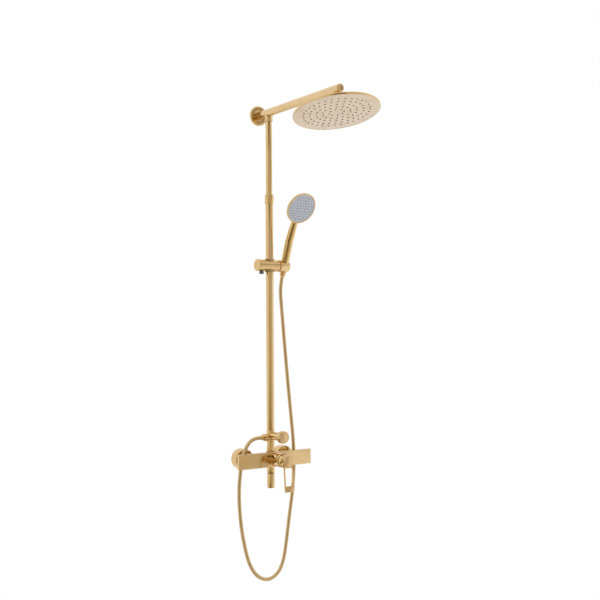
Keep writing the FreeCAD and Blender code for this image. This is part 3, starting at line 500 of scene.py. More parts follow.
def spun(
    name: str, outline: Outline, at: Sequence[float], along: Along | Sequence[float],
    edge: float = 0.3, steps: int = 96,
) -> bpy.types.Object:
    """A turned piece: an outline drawn point by point by extruding, then spun.

    Args:
        name: the piece's name.
        outline: (radius, height) points in millimetres; a ring's outline returns to its start.
        at: where height 0 lies, in millimetres.
        along: the axis.
        edge: the rounding of its sharp edges, in millimetres.
        steps: how many steps the spin takes.

    Returns:
        The piece.
    """
    bpy.ops.object.select_all(action="DESELECT")
    bpy.ops.mesh.primitive_plane_add(size=MM)
    obj = bpy.context.object
    obj.name = name
    edit()
    bpy.ops.mesh.merge(type="CENTER")
    points = [Vector((r * MM, 0, h * MM)) for r, h in outline]
    bpy.ops.transform.translate(value=points[0])
    for before, after in zip(points, points[1:]):
        bpy.ops.mesh.extrude_region_move(TRANSFORM_OT_translate={"value": after - before})
    bpy.ops.mesh.select_all(action="SELECT")
    bpy.ops.mesh.spin(steps=steps, angle=TURN, center=(0, 0, 0), axis=(0, 0, 1))
    bpy.ops.mesh.select_all(action="SELECT")
    bpy.ops.mesh.remove_doubles(threshold=0.002 * MM)
    bpy.ops.mesh.normals_make_consistent(inside=False)
    leave()
    eased(obj, edge)
    return settle(obj, at, along.value if isinstance(along, Along) else along)


def carve(obj: bpy.types.Object, tool: bpy.types.Object, how: str = "DIFFERENCE") -> bpy.types.Object:
    """Cuts, joins or meets a piece with a tool, which is used up."""
    modify(obj, "BOOLEAN", object=tool, operation=how, solver="EXACT")
    bpy.data.objects.remove(tool)
    pick(obj)
    edit()
    bpy.ops.mesh.remove_doubles(threshold=0.005 * MM)
    leave()
    return obj


def block(name: str, low: Sequence[float], high: Sequence[float]) -> bpy.types.Object:
    """A box between two corners in millimetres, ready to be shaped."""
    low, high = Vector(low) * MM, Vector(high) * MM
    bpy.ops.object.select_all(action="DESELECT")
    bpy.ops.mesh.primitive_cube_add(size=1, location=(low + high) / 2, scale=high - low)
    obj = bpy.context.object
    obj.name = name
    bpy.ops.object.transform_apply(location=True, rotation=True, scale=True)
    return obj


def corners(obj: bpy.types.Object, axis: int, radius: float, test: Callable[[Vector], bool] = lambda p: True) -> None:
    """Rounds the edges that run along one axis.

    Args:
        obj: a box.
        axis: 0, 1 or 2.
        radius: in millimetres.
        test: limits the edges by their middle point.
    """
    points = obj.data.vertices

    def runs(item: bpy.types.MeshEdge) -> bool:
        """Whether an edge runs along the axis and passes the test."""
        a, b = (points[i].co for i in item.vertices)
        return abs((b - a).normalized()[axis]) > 0.99 and test((a + b) / 2)

    choose(obj, "edges", runs)
    bpy.ops.mesh.bevel(offset=radius * MM, segments=8, affect="EDGES")
    leave()


def joined(name: str, pieces: Sequence[bpy.types.Object]) -> bpy.types.Object:
    """Several meshes as one piece."""
    pick(pieces[0])
    for other in pieces[1:]:
        other.select_set(True)
    bpy.ops.object.join()
    pieces[0].name = name
    return pieces[0]


def tube_outline(outer: float, inner: float, low: float, high: float) -> Outline:
    """The closed outline of a plain ring or tube."""
    return [(inner, low), (outer, low), (outer, high), (inner, high), (inner, low)]


def rod_outline(radius: float, low: float, high: float) -> Outline:
    """The outline of a solid rod."""
    return [(0, low), (radius, low), (radius, high), (0, high)]


def dress(obj: bpy.types.Object, finish: Finish, body: str, slot: str, *nodes: str) -> bpy.types.Object:
    """Gives a piece its finish, its body and the nodes it stands for.

    Args:
        obj: the piece.
        finish: its finish.
        body: the body it moves with.
        slot: the record's material slot; not used.
        nodes: the nodes that it replaces.

    Returns:
        The same piece.
    """
    obj.data.materials.clear()
    obj.data.materials.append(finish.material())
    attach(obj, body)
    if nodes:
        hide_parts(*nodes)
    LOG.info("%-22s %-13s %6d faces", obj.name, body, len(obj.data.polygons))
    return obj


# ---------------------------------------------------------------- column
@dataclass
class Riser:
    """The telescopic tubes and the collar between them."""

    wall: float = 1.2
    groove: float = 0.5
    body: str = "wall_body"

    def tube(self, node: str, name: str, body: str) -> None:
        """A drawn tube with eased ends."""
        reach = Reach.of(node)
        outer = reach.size.x / 2
        outline = tube_outline(outer, outer - self.wall, reach.low.z, reach.high.z)
        dress(spun(name, outline, (reach.mid.x, reach.mid.y, 0), Along.UP), TUBE_GOLD, body, "gold_tube", node)

    def collar(self) -> None:
        """The collar, with a fine groove under its lip."""
        reach, upper = Reach.of("tube_collar"), Reach.of("upper_tube")
        r, low, high, bore = reach.size.x / 2, reach.low.z, reach.high.z, upper.size.x / 2 + 0.4
        lower_bore = Reach.of("lower_tube").size.x / 2 + 0.05
        g, lip = self.groove, high - 4
        outline = [
            (lower_bore, low), (r - 0.8, low), (r, low + 0.8), (r, high - 5 - g), (r - g, high - 5), (r, high - 5 + g),
            (r, high - 1.0), (r - 1.0, high), (bore, high), (bore, lip), (lower_bore, lip), (lower_bore, low),
        ]
        dress(spun("column_collar", outline, (reach.mid.x, reach.mid.y, 0), Along.UP, 0.15), GOLD, self.body, "gold",
              "tube_collar")

    def build(self) -> None:
        """Both tubes and the collar."""
        self.tube("lower_tube", "riser_lower_tube", self.body)
        self.tube("upper_tube", "riser_upper_tube", "upper_column")
        self.collar()


@dataclass
class OverheadArm:
    """The arm with its tee, end cap and wall flange."""

    tee_flare: float = 1.6
    cap_round: float = 1.6
    body: str = "upper_column"

    def tube(self) -> None:
        """The arm, its tee over the riser and the stub over the ball joint."""
        reach, ball = Reach.of("arm"), Vector(joint("head_pitch")["pos_m"]) / MM
        riser = Reach.of("upper_tube")
        r = Reach.of("arm_end_cap").size.x / 2
        z = reach.high.z - r
        arm = spun("overhead_arm", rod_outline(r, 0, reach.size.y), (0, reach.high.y, z), Along.OUT, 0)
        tee_r = riser.size.x / 2 + 2.6
        flare = self.tee_flare
        tee = spun("tee", [(0, 0), (tee_r, 0), (tee_r, z - reach.low.z - r - 1), (tee_r + flare, z - reach.low.z - r + 2),
                           (tee_r - 2, z - reach.low.z), (0, z - reach.low.z)], (riser.mid.x, riser.mid.y, reach.low.z),
                   Along.UP, 0)
        stub = spun("stub", rod_outline(9.0, 0, z - ball.z - 16), (ball.x, ball.y, ball.z + 16), Along.UP, 0)
        carve(arm, tee, "UNION")
        carve(arm, stub, "UNION")
        dress(eased(arm, 0.5, 2), ARM_GOLD, self.body, "gold_tube", "arm")

    def end_cap(self) -> None:
        """A shallow cap with a ring line."""
        reach = Reach.of("arm_end_cap")
        r, out = reach.size.x / 2, 4.0
        k = self.cap_round
        outline = [(0, 0), (r - 0.25, 0), (r - 0.25, 0.3), (r, 0.5), (r, out - k), (r - 0.3 * k, out - 0.3 * k), (r - k, out),
                   (r - 3.2, out), (r - 3.6, out - 0.35), (0, out - 0.45)]
        cap = spun("arm_cap", outline, (0, reach.low.y + out, reach.mid.z), Along.OUT, 0.12)
        dress(cap, GOLD, self.body, "gold", "arm_end_cap")

    def flange(self) -> None:
        """The cover over the wall plate."""
        reach = Reach.of("wall_flange")
        r, deep, wall = reach.size.x / 2, reach.size.y, 1.5
        bore = Reach.of("arm_end_cap").size.x / 2 + 0.1
        k = 1.8
        rim = [(r - k + k * math.sin(a), deep - k + k * math.cos(a)) for a in (0, 0.4, 0.8, 1.2, math.pi / 2)]
        outline = [(bore, deep - wall), (bore, deep), *rim, (r, 0), (r - wall, 0), (r - wall, deep - wall), (bore, deep - wall)]
        dress(spun("arm_flange", outline, (0, 0, reach.mid.z), Along.OUT, 0.2, 128), GOLD, self.body, "gold", "wall_flange")

    def build(self) -> None:
        """The arm, its cap and its flange."""
        self.tube()
        self.end_cap()
        self.flange()


@dataclass
class RainHead:
    """The round head below the arm, on its ball joint."""

    rings: tuple[tuple[float, int], ...] = ((21.0, 8), (40.0, 14), (58.0, 20), (77.0, 26), (95.0, 32))
    drop: float = 31.0
    rim_height: float = 7.0
    hub_height: float = 12.0
    wall: float = 1.5
    nozzle_out: float = 0.8
    body: str = "rain_head"
    ball: Vector = field(default_factory=lambda: Vector(joint("head_pitch")["pos_m"]) / MM)
    roll: Vector = field(default_factory=lambda: Vector(joint("head_roll")["axis"]))

    @property
    def up(self) -> Vector:
        """The head's own axis, from its face to the ball."""
        return Vector((1, 0, 0)).cross(self.roll)

    @property
    def tilt(self) -> float:
        """The head's tilt in radians."""
        return math.atan2(-self.roll.z, self.roll.y)

    @property
    def radius(self) -> float:
        """The head's radius."""
        return Reach.of("head_shell").size.x / 2

    def shell(self) -> None:
        """The back shell, drawn down from its hub to a rolled rim."""
        r, face, rim = self.radius, -self.drop, -self.drop + self.rim_height
        top = face + self.hub_height
        inner = r - self.wall
        outline = [
            (4, top - 1.5), (30, top - 1.5), (inner, rim - 1.5), (inner, face + 0.3), (inner + 0.4, face), (r - 0.5, face),
            (r, face + 0.5), (r, rim - 2.2), (r - 0.35, rim - 1.1), (r - 1.2, rim - 0.25), (r - 3, rim + 0.05),
            (60, top - 1.4), (30, top - 0.2), (18, top + 0.2), (13, top + 1.2), (10, top + 2.6), (9, top + 4), (9, -9.6),
            (4, -9.6), (4, top - 1.5),
        ]
        dress(spun("rain_shell", outline, self.ball, self.up, 0.15, 192), GOLD, self.body, "gold", "head_shell")

    def face(self) -> None:
        """The spray disc, very slightly dished, with a fine turned line near its edge."""
        r = self.radius - self.wall - 0.05
        back, front = -self.drop + 2.0, -self.drop
        outline = [
            (0, back), (r, back), (r, front + 0.35), (r - 0.4, front + 0.1), (r - 6, front + 0.05), (r - 6.4, front + 0.35),
            (r - 7.0, front + 0.35), (r - 7.4, front + 0.05), (0, front + 0.25),
        ]
        finish = FacePlate("rain face", tuple(self.ball * MM), self.tilt)
        dress(spun("rain_face", outline, self.ball, self.up, 0.08, 192), finish, self.body, "champagne", "head_face")

    def nozzles(self) -> None:
        """Soft nozzles in rings: one is modelled and the rest are its copies."""
        front = -self.drop
        outline = [
            (0, front + 0.1), (0.7, front - 0.1), (0.9, front - self.nozzle_out + 0.1), (1.25, front - self.nozzle_out),
            (1.6, front - self.nozzle_out + 0.25), (2.0, front - 0.25), (2.5, front - 0.12), (2.6, front + 0.5), (0, front + 0.5),
        ]
        first = spun("rain_nozzles", outline, (0, 0, 0), Along.UP, 0, 14)
        copies = [first]
        for radius, count in self.rings:
            for i in range(count):
                angle = TURN * i / count
                place = Vector((radius * math.cos(angle), radius * math.sin(angle), 0)) * MM
                if len(copies) == 1 and i == 0 and radius == self.rings[0][0]:
                    start = place
                    copies.append(first)
                    continue
                pick(first)
                bpy.ops.object.duplicate(linked=False)
                bpy.context.object.location = place - start
                copies.append(bpy.context.object)
        first.location = (0, 0, 0)
        nozzles = joined("rain_nozzles", copies[1:])
        pick(nozzles)
        nozzles.location = start
        bpy.ops.object.transform_apply(location=True, rotation=True, scale=True)
        settle(nozzles, self.ball, self.up)
        dress(nozzles, SILICONE, self.body, "silicone", "nozzle_mat")

    def nut(self) -> None:
        """The swivel nut, with a waist and finger grooves round it."""
        r = Reach.of("swivel_nut").size.x / 2
        low, high = -14.0, 5.0
        outline = [(9.05, low), (r - 1.2, low), (r, low + 1.2)]
        for k in range(5):
            z = low + 3.0 + k * 2.1
            outline += [(r, z), (r - 0.45, z + 0.45), (r - 0.45, z + 0.75), (r, z + 1.2)]
        outline += [(r, high - 2.2), (r - 2.2, high), (7.7, high), (9.2, high - 1.5), (10.2, 3.4), (10.2, -4.4), (9.05, -4.5),
                    (9.05, low)]
        dress(spun("swivel_nut_cover", outline, self.ball, self.up, 0.12), GOLD, self.body, "gold", "swivel_nut")

    def ball_stem(self) -> None:
        """The polished ball and its neck below the arm."""
        z_top = Reach.of("ball_nipple").high.z - self.ball.z
        arc = [(9.0 * math.sin(a), -9.0 * math.cos(a)) for a in [0.3 + k * 0.16 for k in range(15)]]
        outline = [(2.6, arc[0][1]), *arc, (5.0, 8.0), (5.0, 12.4), (9.6, 13.0), (10.0, 13.4), (10.0, 15.6), (9.6, 16.0),
                   (5.0, 16.0), (5.0, z_top), (2.6, z_top), (2.6, arc[0][1])]
        dress(spun("ball_stem", outline, self.ball, Along.UP, 0.1), GOLD, "upper_column", "gold", "ball_nipple")

    def build(self) -> None:
        """Shell, face, nozzles, nut and ball."""
        self.shell()
        self.face()
        self.nozzles()
        self.nut()
        self.ball_stem()


# ---------------------------------------------------------------- slider and holder
@dataclass
class SliderAssembly:
    """The slider on the riser, its lock screw and the tilting holder."""

    bush_gap: float = 0.1
    teeth: int = 40
    socket_gap: float = 0.35
    lean_axis: Vector = field(default_factory=lambda: Vector(joint("handset_lift")["axis"]))
    handle_x: float = 54.0
    handle_y: float = -63.7

    def housing(self) -> None:
        """A turned barrel across the riser, bored for its bush."""
        cap, reach, bush = Reach.of("slider_end_cap"), Reach.of("slider_housing"), Reach.of("slider_bush")
        r, start = cap.size.z / 2, cap.high.x
        shoulder, end = Reach.of("slider_housing").high.x - 2.6, reach.high.x
        at = (start, reach.mid.y, reach.mid.z)
        outline = [(0, 0), (r - 0.2, 0), (r, 0.2), (r, shoulder - start - 0.5), (r - 0.5, shoulder - start), (13, shoulder - start),
                   (13, end - start), (0, end - start)]
        body = spun("slider_barrel", outline, at, Along.RIGHT, 0)
        bore = spun("bore", rod_outline(bush.size.x / 2 + self.bush_gap, -40, 40), (0, reach.mid.y, reach.mid.z), Along.UP, 0)
        carve(body, bore)
        dress(eased(body, 0.35, 2), GOLD, "slider", "gold", "slider_housing")

    def end_cap(self) -> None:
        """The flat end of the barrel."""
        reach = Reach.of("slider_end_cap")
        r, t = reach.size.z / 2, reach.size.x
        outline = [(0, 0.15), (r - 3.5, 0.0), (r - 1.4, 0), (r - 0.4, 0.35), (r, 1.3), (r, t - 0.2), (r - 0.25, t), (0, t)]
        dress(spun("slider_cap", outline, (reach.low.x, reach.mid.y, reach.mid.z), Along.RIGHT, 0.1), GOLD, "slider", "gold",
              "slider_end_cap")

    def bush(self) -> None:
        """The sliding bush inside the barrel."""
        reach = Reach.of("slider_bush")
        outer = reach.size.x / 2
        outline = tube_outline(outer, Reach.of("lower_tube").size.x / 2 + 0.08, reach.low.z, reach.high.z)
        dress(spun("slide_bush", outline, (reach.mid.x, reach.mid.y, 0), Along.UP, 0.4), TAN, "runner", "dark_plastic",
              "slider_bush")

    def lock(self) -> None:
        """The small knurled screw under the barrel."""
        reach = Reach.of("lock_screw")
        r, low = reach.size.x / 2, reach.low.z
        head = [(0, 0.4), (r - 2.2, 0.4), (r - 1.8, 0), (r - 0.8, 0), (r, 0.8), (r, 7.0), (r - 0.8, 8.0), (2.5, 8.0),
                (2.5, reach.size.z), (0, reach.size.z)]
        screw = spun("lock_thumbscrew", head, (reach.mid.x, reach.mid.y, low), Along.UP, 0, 2 * self.teeth)
        centre = Vector((reach.mid.x, reach.mid.y, 0)) * MM
        mesh = screw.data

        def side(face: bpy.types.MeshPolygon) -> bool:
            """Every second face of the head's side."""
            out = face.center - centre
            step = round(math.atan2(out.y, out.x) / TURN * 2 * self.teeth - 0.5)
            return abs(face.normal.z) < 0.1 and out.xy.length > (r - 0.3) * MM and step % 2 == 0

        choose(screw, "polygons", side)
        bpy.ops.mesh.extrude_region_shrink_fatten(TRANSFORM_OT_shrink_fatten={"value": -0.35 * MM})
        leave()
        mesh.update()
        dress(eased(screw, 0), DARK, "lock", "dark_plastic", "lock_screw")

    def holder(self) -> None:
        """The tilting end of the barrel: a socket with a slot for the hose."""
        reach = Reach.of("holder")
        r, length = reach.size.z / 2, reach.size.x
        outline = [(0, 0), (r - 0.5, 0), (r, 0.5), (r, length - 2.0), (r - 0.6, length - 0.6), (r - 2.0, length), (0, length)]
        body = spun("hand_holder", outline, (reach.low.x, reach.mid.y, reach.mid.z), Along.RIGHT, 0)
        centre = (self.handle_x, self.handle_y, reach.mid.z)
        wide, taper = 12.2 + self.socket_gap, 0.033
        tool = spun("socket", [(0, -30), (wide - 30 * taper, -30), (wide + 30 * taper, 30), (0, 30)], centre, self.lean_axis, 0)
        slot = block("slot", (0, -7, -30), (30, 7, 30))
        slot.matrix_world = Matrix.Translation(Vector(centre) * MM) @ Matrix.Rotation(self.lean, 4, "X")
        pick(slot)
        bpy.ops.object.transform_apply(location=True, rotation=True, scale=True)
        carve(tool, slot, "UNION")
        carve(body, tool)
        bolt = Reach.of("holder_bolt")
        hole = spun("hole", [(0, -1), (4.1, -1), (4.1, bolt.high.x - 2.7 - reach.low.x), (7.9, bolt.high.x - 2.7 - reach.low.x),
                             (7.9, 14), (0, 14)], (reach.low.x, reach.mid.y, reach.mid.z), Along.RIGHT, 0)
        carve(body, hole)
        dress(eased(body, 0.4, 3), GOLD, "holder", "gold", "holder")

    @property
    def lean(self) -> float:
        """The handle's lean from upright, in radians."""
        return math.atan2(-self.lean_axis.y, self.lean_axis.z)

    def build(self) -> None:
        """Barrel, cap, bush, lock screw and holder."""
        self.housing()
        self.end_cap()
        self.bush()
        self.lock()
        self.holder()


@dataclass
class HandShower:
    """The hand shower: a curved grip that runs into a round head."""

    slider: SliderAssembly
    rings: tuple[tuple[float, int], ...] = ((9.0, 6), (18.0, 12), (27.0, 18), (36.0, 24))
    stations: tuple[tuple[float, float], ...] = (
        (-18.0, 11.2), (-9.0, 11.7), (0.0, 12.1), (15.0, 12.5), (30.0, 12.7), (55.0, 12.7), (80.0, 12.5),
    )
    neck: tuple[tuple[float, float, float, float], ...] = (
        (-98.0, 688.0, 23.5, 12.3), (-106.8, 706.0, 27.0, 12.0), (-114.0, 719.0, 28.5, 11.2), (-121.5, 731.0, 30.0, 10.2),
        (-129.0, 744.0, 30.5, 8.8), (-137.0, 757.0, 30.7, 7.0),
    )
    face_down: float = 30.7
    thick: float = 14.0
    voxel: float = 0.8
    body: str = "hand_shower"

    def on_handle(self, distance: float) -> Vector:
        """A point on the handle's axis, from the holder's height."""
        height = joint("holder_tilt")["pos_m"][2] / MM
        return Vector((self.slider.handle_x, self.slider.handle_y, height)) + self.slider.lean_axis * distance

    @property
    def back(self) -> Vector:
        """From the face into the head."""
        angle = math.radians(self.face_down)
        return Vector((0, math.cos(angle), math.sin(angle)))

    @property
    def centre(self) -> Vector:
        """The middle of the face's rim plane."""
        return Reach.of("handset_face").mid - self.back * 1.6

    def grip(self) -> bpy.types.Object:
        """The handle: a disc drawn along its curve by extruding, turning and scaling."""
        rows = [(self.on_handle(d), self.slider.lean, r) for d, r in self.stations]
        rows += [(Vector((self.slider.handle_x, y, z)), math.radians(a), r) for y, z, a, r in self.neck]
        place, lean, radius = rows[0]
        bpy.ops.object.select_all(action="DESELECT")
        bpy.ops.mesh.primitive_circle_add(
            vertices=72, radius=radius * MM, fill_type="NGON", location=place * MM, rotation=(lean, 0, 0)
        )
        obj = bpy.context.object
        bpy.ops.object.transform_apply(location=True, rotation=True, scale=True)
        edit()
        for here, angle, size in rows[1:]:
            centre = here * MM
            bpy.ops.mesh.extrude_region_move(TRANSFORM_OT_translate={"value": (here - place) * MM})
            if abs(angle - lean) > 1e-6:
                bpy.ops.transform.rotate(value=-(angle - lean), orient_axis="X", center_override=centre)
            share = size / radius
            bpy.ops.transform.resize(value=(share, share, share), center_override=centre)
            place, lean, radius = here, angle, size
        bpy.ops.mesh.select_all(action="SELECT")
        bpy.ops.mesh.normals_make_consistent(inside=False)
        leave()
        return obj

    def shell(self) -> None:
        """Grip and head as one smooth casting, blended where they meet."""
        r, t = Reach.of("handset_body").size.x / 2 - 0.5, self.thick
        outline = [(0, 2.6), (r - 1.0, 2.6), (r, 3.2), (r, 6.0), (r - 1.2, 7.6), (r - 6, 9.6), (r - 14, t - 2), (r - 24, t - 0.4),
                   (0, t)]
        head = spun("head", outline, self.centre, self.back, 0, 128)
        shell = joined("handset_shell", [self.grip(), head])
        modify(shell, "REMESH", mode="VOXEL", voxel_size=self.voxel * MM, adaptivity=0.0)
        modify(shell, "SMOOTH", factor=0.5, iterations=14)
        recess = spun("recess", rod_outline(46.2, -2, 4.2), self.centre, self.back, 0, 128)
        carve(shell, recess)
        pick(shell)
        bpy.ops.object.shade_smooth_by_angle(angle=math.radians(50))
        dress(shell, GRIP_GOLD, self.body, "gold_shell", "handset_body")

    def rim(self) -> None:
        """The bright rolled rim round the face."""
        r = Reach.of("handset_body").size.x / 2
        outline = [(46.1, 0.5), (46.6, 0.12), (r - 1.6, 0.0), (r - 0.5, 0.4), (r, 1.4), (r, 3.6), (r - 0.3, 4.2), (46.1, 4.2), (46.1, 0.5)]
        dress(spun("handset_rim", outline, self.centre, self.back, 0.1, 160), GOLD, self.body, "gold_shell")

    def face(self) -> None:
        """The spray plate, with raised and sunk rings."""
        r = Reach.of("handset_face").size.x / 2
        outline = [(0, 2.6), (r, 2.6), (r, 0.9), (r - 0.4, 0.65), (r - 3.6, 0.6), (r - 4.0, 0.95), (r - 4.8, 0.95), (r - 5.2, 0.6)]
        outline += [(13.8, 0.6), (13.5, 0.85), (12.9, 0.85), (12.6, 0.6), (5.2, 0.6), (4.8, 0.9), (4.2, 0.9), (3.8, 0.6), (0, 0.5)]
        dress(spun("handset_plate", outline, self.centre, self.back, 0.06, 128), SPRAY_PLATE, self.body, "hand_face",
              "handset_face")

    def nozzles(self) -> None:
        """Small nozzles in rings on the plate."""
        outline = [(0, 0.5), (0.35, 0.3), (0.5, 0.12), (0.85, 0.1), (1.15, 0.45), (1.5, 0.6), (1.5, 1.0), (0, 1.0)]
        seed = spun("seed", outline, (0, 0, 0), Along.UP, 0, 12)
        copies = []
        for radius, count in self.rings:
            for i in range(count):
                angle = TURN * i / count
                pick(seed)
                bpy.ops.object.duplicate(linked=False)
                bpy.context.object.location = Vector((radius * math.cos(angle), radius * math.sin(angle), 0)) * MM
                bpy.ops.object.transform_apply(location=True, rotation=True, scale=True)
                copies.append(bpy.context.object)
        bpy.data.objects.remove(seed)
        nozzles = settle(joined("handset_nubs", copies), self.centre, self.back)
        dress(nozzles, SILICONE, self.body, "silicone", "handset_nozzles")

    def cone_nut(self) -> None:
        """The nut under the handle, with finger ridges."""
        low, high = -34.0, -18.0
        ridges = []
        for k in range(5):
            z = low + 4 + k * 1.7
            r = 8.2 + (z - low) * 0.15
            ridges += [(r, z), (r - 0.35, z + 0.35), (r - 0.35, z + 0.7), (r + 0.15, z + 1.05)]
        outline = [(4.0, low), (7.2, low), (7.8, low + 0.6), *ridges, (10.5, high - 0.6), (10.0, high), (8.2, high),
                   (8.2, low + 6), (4.0, low + 6), (4.0, low)]
        dress(spun("handle_nut", outline, self.on_handle(0), self.slider.lean_axis, 0.1), GOLD, self.body, "gold",
              "hose_cone_nut")

    def build(self) -> None:
        """Shell, rim, plate, nozzles and nut."""
        self.shell()
        self.rim()
        self.face()
        self.nozzles()
        self.cone_nut()


# ---------------------------------------------------------------- mixer
@dataclass
class Mixer:
    """The bar mixer behind its plate, with the lever in front and the cups on the wall."""

    plate_wall: float = 2.5
    plate_corner: float = 3.0
    loop_leg: float = 4.0
    loop_lean: float = 5.0
    window: tuple[float, float] = (-20.0, -74.0)
    pivot_y: float = -126.0
    cap_back: float = -147.0
    cap_front: float = -161.0
    body: str = "wall_body"

    def plate(self) -> None:
        """The long front plate: a box hollowed from behind, with round corners and eased edges."""
        reach = Reach.of("front_plate")
        plate = block("mixer_plate", reach.low, reach.high)
        corners(plate, 1, self.plate_corner)
        choose(plate, "polygons", lambda f: f.normal.y > 0.9)
        bpy.ops.mesh.inset(thickness=self.plate_wall * MM)
        depth = (reach.size.y - self.plate_wall) * MM
        bpy.ops.mesh.extrude_region_move(TRANSFORM_OT_translate={"value": Vector((0, -depth, 0))})
        leave()
        eased(plate, 0.45, 3, 50)
        dress(plate, GOLD, self.body, "gold", "front_plate")

    def hub(self) -> None:
        """The ring behind the sleeve, which carries the plate on the body."""
        reach, boss = Reach.of("front_plate"), Reach.of("cartridge_sleeve")
        inner = boss.size.x / 2 - 1.4
        outline = tube_outline(22.5, inner, -reach.high.y, -reach.low.y - self.plate_wall + 0.2)
        dress(spun("plate_hub", outline, (0, 0, 0), Along.OUT, 0.2), BRASS, self.body, "gold")

    def sleeve(self) -> None:
        """The round sleeve on the plate, with a fine step at each end."""
        reach, dome = Reach.of("cartridge_sleeve"), Reach.of("handle_dome")
        r, length = reach.size.x / 2, reach.size.y
        inner, bore = dome.size.x / 2 + 0.4, r - 1.45
        step = -reach.high.y
        floor = step + 15.1
        outline = [
            (bore, step), (r + 0.0, step), (r, step + 0.5), (r - 0.35, step + 0.8), (r - 0.35, step + 1.2), (r, step + 1.5),
            (r, step + length - 1.4), (r - 0.3, step + length - 0.5), (r - 0.9, step + length), (inner, step + length),
            (inner, floor), (bore, floor), (bore, step),
        ]
        dress(spun("cartridge_collar", outline, (0, 0, 0), Along.OUT, 0.12), GOLD, self.body, "gold", "cartridge_sleeve")

    def dome(self) -> None:
        """The ball of the lever, its neck and the stem inside."""
        r, wall, skirt = Reach.of("handle_dome").size.x / 2, 1.6, 5.0
        front = math.acos(8.0 / r)
        back = -math.asin(skirt / r)
        arc = [back + (front - back) * i / 22 for i in range(23)]
        outside = [(r * math.cos(a), r * math.sin(a)) for a in arc]
        inside = [((r - wall) * math.cos(a), (r - wall) * math.sin(a)) for a in reversed(arc)]
        neck_end = -Reach.of("handle_dome").low.y + self.pivot_y
        foot = outside[-1][1]
        neck = [(8.0, foot + 1.6), (8.0, neck_end), (0, neck_end), (0, inside[0][1] + 0.2)]
        outline = [*outside[:-1], (8.6, foot + 0.3), (8.1, foot + 0.9), *neck, (7.0, inside[0][1] + 0.2), *inside[1:], outside[0]]
        dome = spun("lever_dome", outline, (0, self.pivot_y, 0), Along.OUT, 0.1, 128)
        dress(dome, GOLD, "lever", "gold")

    def stem(self) -> None:
        """The square stem that the turret's slot holds."""
        low = Reach.of("cartridge_turret").low.y
        stem = block("lever_stem", (-4.5, low - 12, -4.5), (4.5, self.pivot_y + 8.0, 4.5))
        pin = Reach.of("fulcrum_pin")
        hole = spun("hole", rod_outline(pin.size.z / 2 + 0.08, -20, 20), (0, pin.mid.y, pin.mid.z), Along.RIGHT, 0, 32)
        carve(stem, hole)
        dress(eased(stem, 0.3, 2), STEEL, "lever", "steel", "handle_dome")

    def cap(self) -> None:
        """The lever's round cap with its turned front."""
        r, back = 17.5, self.cap_back
        t = back - self.cap_front
        outline = [
            (0, 0), (r - 0.4, 0), (r, 0.4), (r, t - 1.8), (r - 0.4, t - 0.7), (r - 1.4, t - 0.05), (r - 2.2, t), (r - 2.5, t - 0.3),
            (r - 3.1, t - 0.3), (r - 3.4, t), (0, t - 0.12),
        ]
        dress(spun("lever_cap", outline, (0, back, 0), Along.OUT, 0.1, 128), GOLD, "lever", "gold")

    def loop(self) -> None:
        """The open loop below the cap: a bar with a window, rounded all over."""
        half, y, t, end = 17.0, -153.0, 4.0, -92.5
        loop = block("lever_loop_bar", (-half, y - t, end), (half, y, 3.0))
        corners(loop, 1, 4.5, lambda p: p.z < (end + 1) * MM)
        top, bottom = self.window
        tool = block("window", (-half + self.loop_leg, y - t - 2, bottom), (half - self.loop_leg, y + 2, top))
        corners(tool, 1, 3.5)
        carve(loop, tool)
        pick(loop)
        edit()
        pivot = Vector((0, y - t / 2, 0)) * MM
        bpy.ops.transform.rotate(value=math.radians(self.loop_lean), orient_axis="X", center_override=pivot)
        leave()
        dress(eased(loop, 1.1, 4, 50), GOLD, "lever", "gold", "lever_loop")

    def cups(self) -> None:
        """The two cover cups: one is modelled and the other is its copy."""
        reach = Reach.of("escutcheon_left")
        r, deep, wall = reach.size.x / 2, reach.size.y, 1.2
        bore = Reach.of("union_nut_left").size.x / 2 - 2.2
        bead = [(r - 2.5 + 2.5 * math.sin(a), deep - 2.5 + 2.5 * math.cos(a)) for a in (0, 0.4, 0.8, 1.2, math.pi / 2)]
        outline = [
            (bore, deep - wall), (bore, deep), *bead, (r, 4.0), (r - 0.3, 3.6), (r - 0.3, 3.2), (r, 2.8), (r, 0), (r - wall, 0),
            (r - wall, deep - wall), (bore, deep - wall),
        ]
        left = spun("wall_cup_left", outline, (reach.mid.x, 0, 0), Along.OUT, 0.12, 128)
        self.copy_right(left, "wall_cup_right", -2 * reach.mid.x, GOLD, "gold", "escutcheon_left", "escutcheon_right")

    def nuts(self) -> None:
        """The two union nuts: hexagons with turned ends."""
        reach = Reach.of("union_nut_left")
        r, t = reach.size.x / 2, reach.size.y
        bpy.ops.object.select_all(action="DESELECT")
        middle = Vector((reach.mid.x, reach.mid.y, 0)) * MM
        bpy.ops.mesh.primitive_cylinder_add(vertices=6, radius=r * MM, depth=t * MM, location=middle, rotation=(TURN / 4, 0, 0))
        nut = bpy.context.object
        nut.name = "union_hex_left"
        bpy.ops.object.transform_apply(location=True, rotation=True, scale=True)
        lathe = spun("turned", [(0, -0.1), (r - 1.6, -0.1), (r + 0.2, 1.4), (r + 0.2, t - 1.4), (r - 1.6, t + 0.1), (0, t + 0.1)],
                     (reach.mid.x, reach.high.y, 0), Along.OUT, 0)
        carve(nut, lathe, "INTERSECT")
        seat, tail = 13.05, 9.85
        bore = spun("bore", [(0, -1), (seat, -1), (seat, 8.5), (tail, 8.5), (tail, t + 1), (0, t + 1)],
                    (reach.mid.x, reach.high.y, 0), Along.OUT, 0)
        carve(nut, bore)
        eased(nut, 0.25, 2)
        self.copy_right(nut, "union_hex_right", -2 * reach.mid.x, GOLD, "gold", "union_nut_left", "union_nut_right")

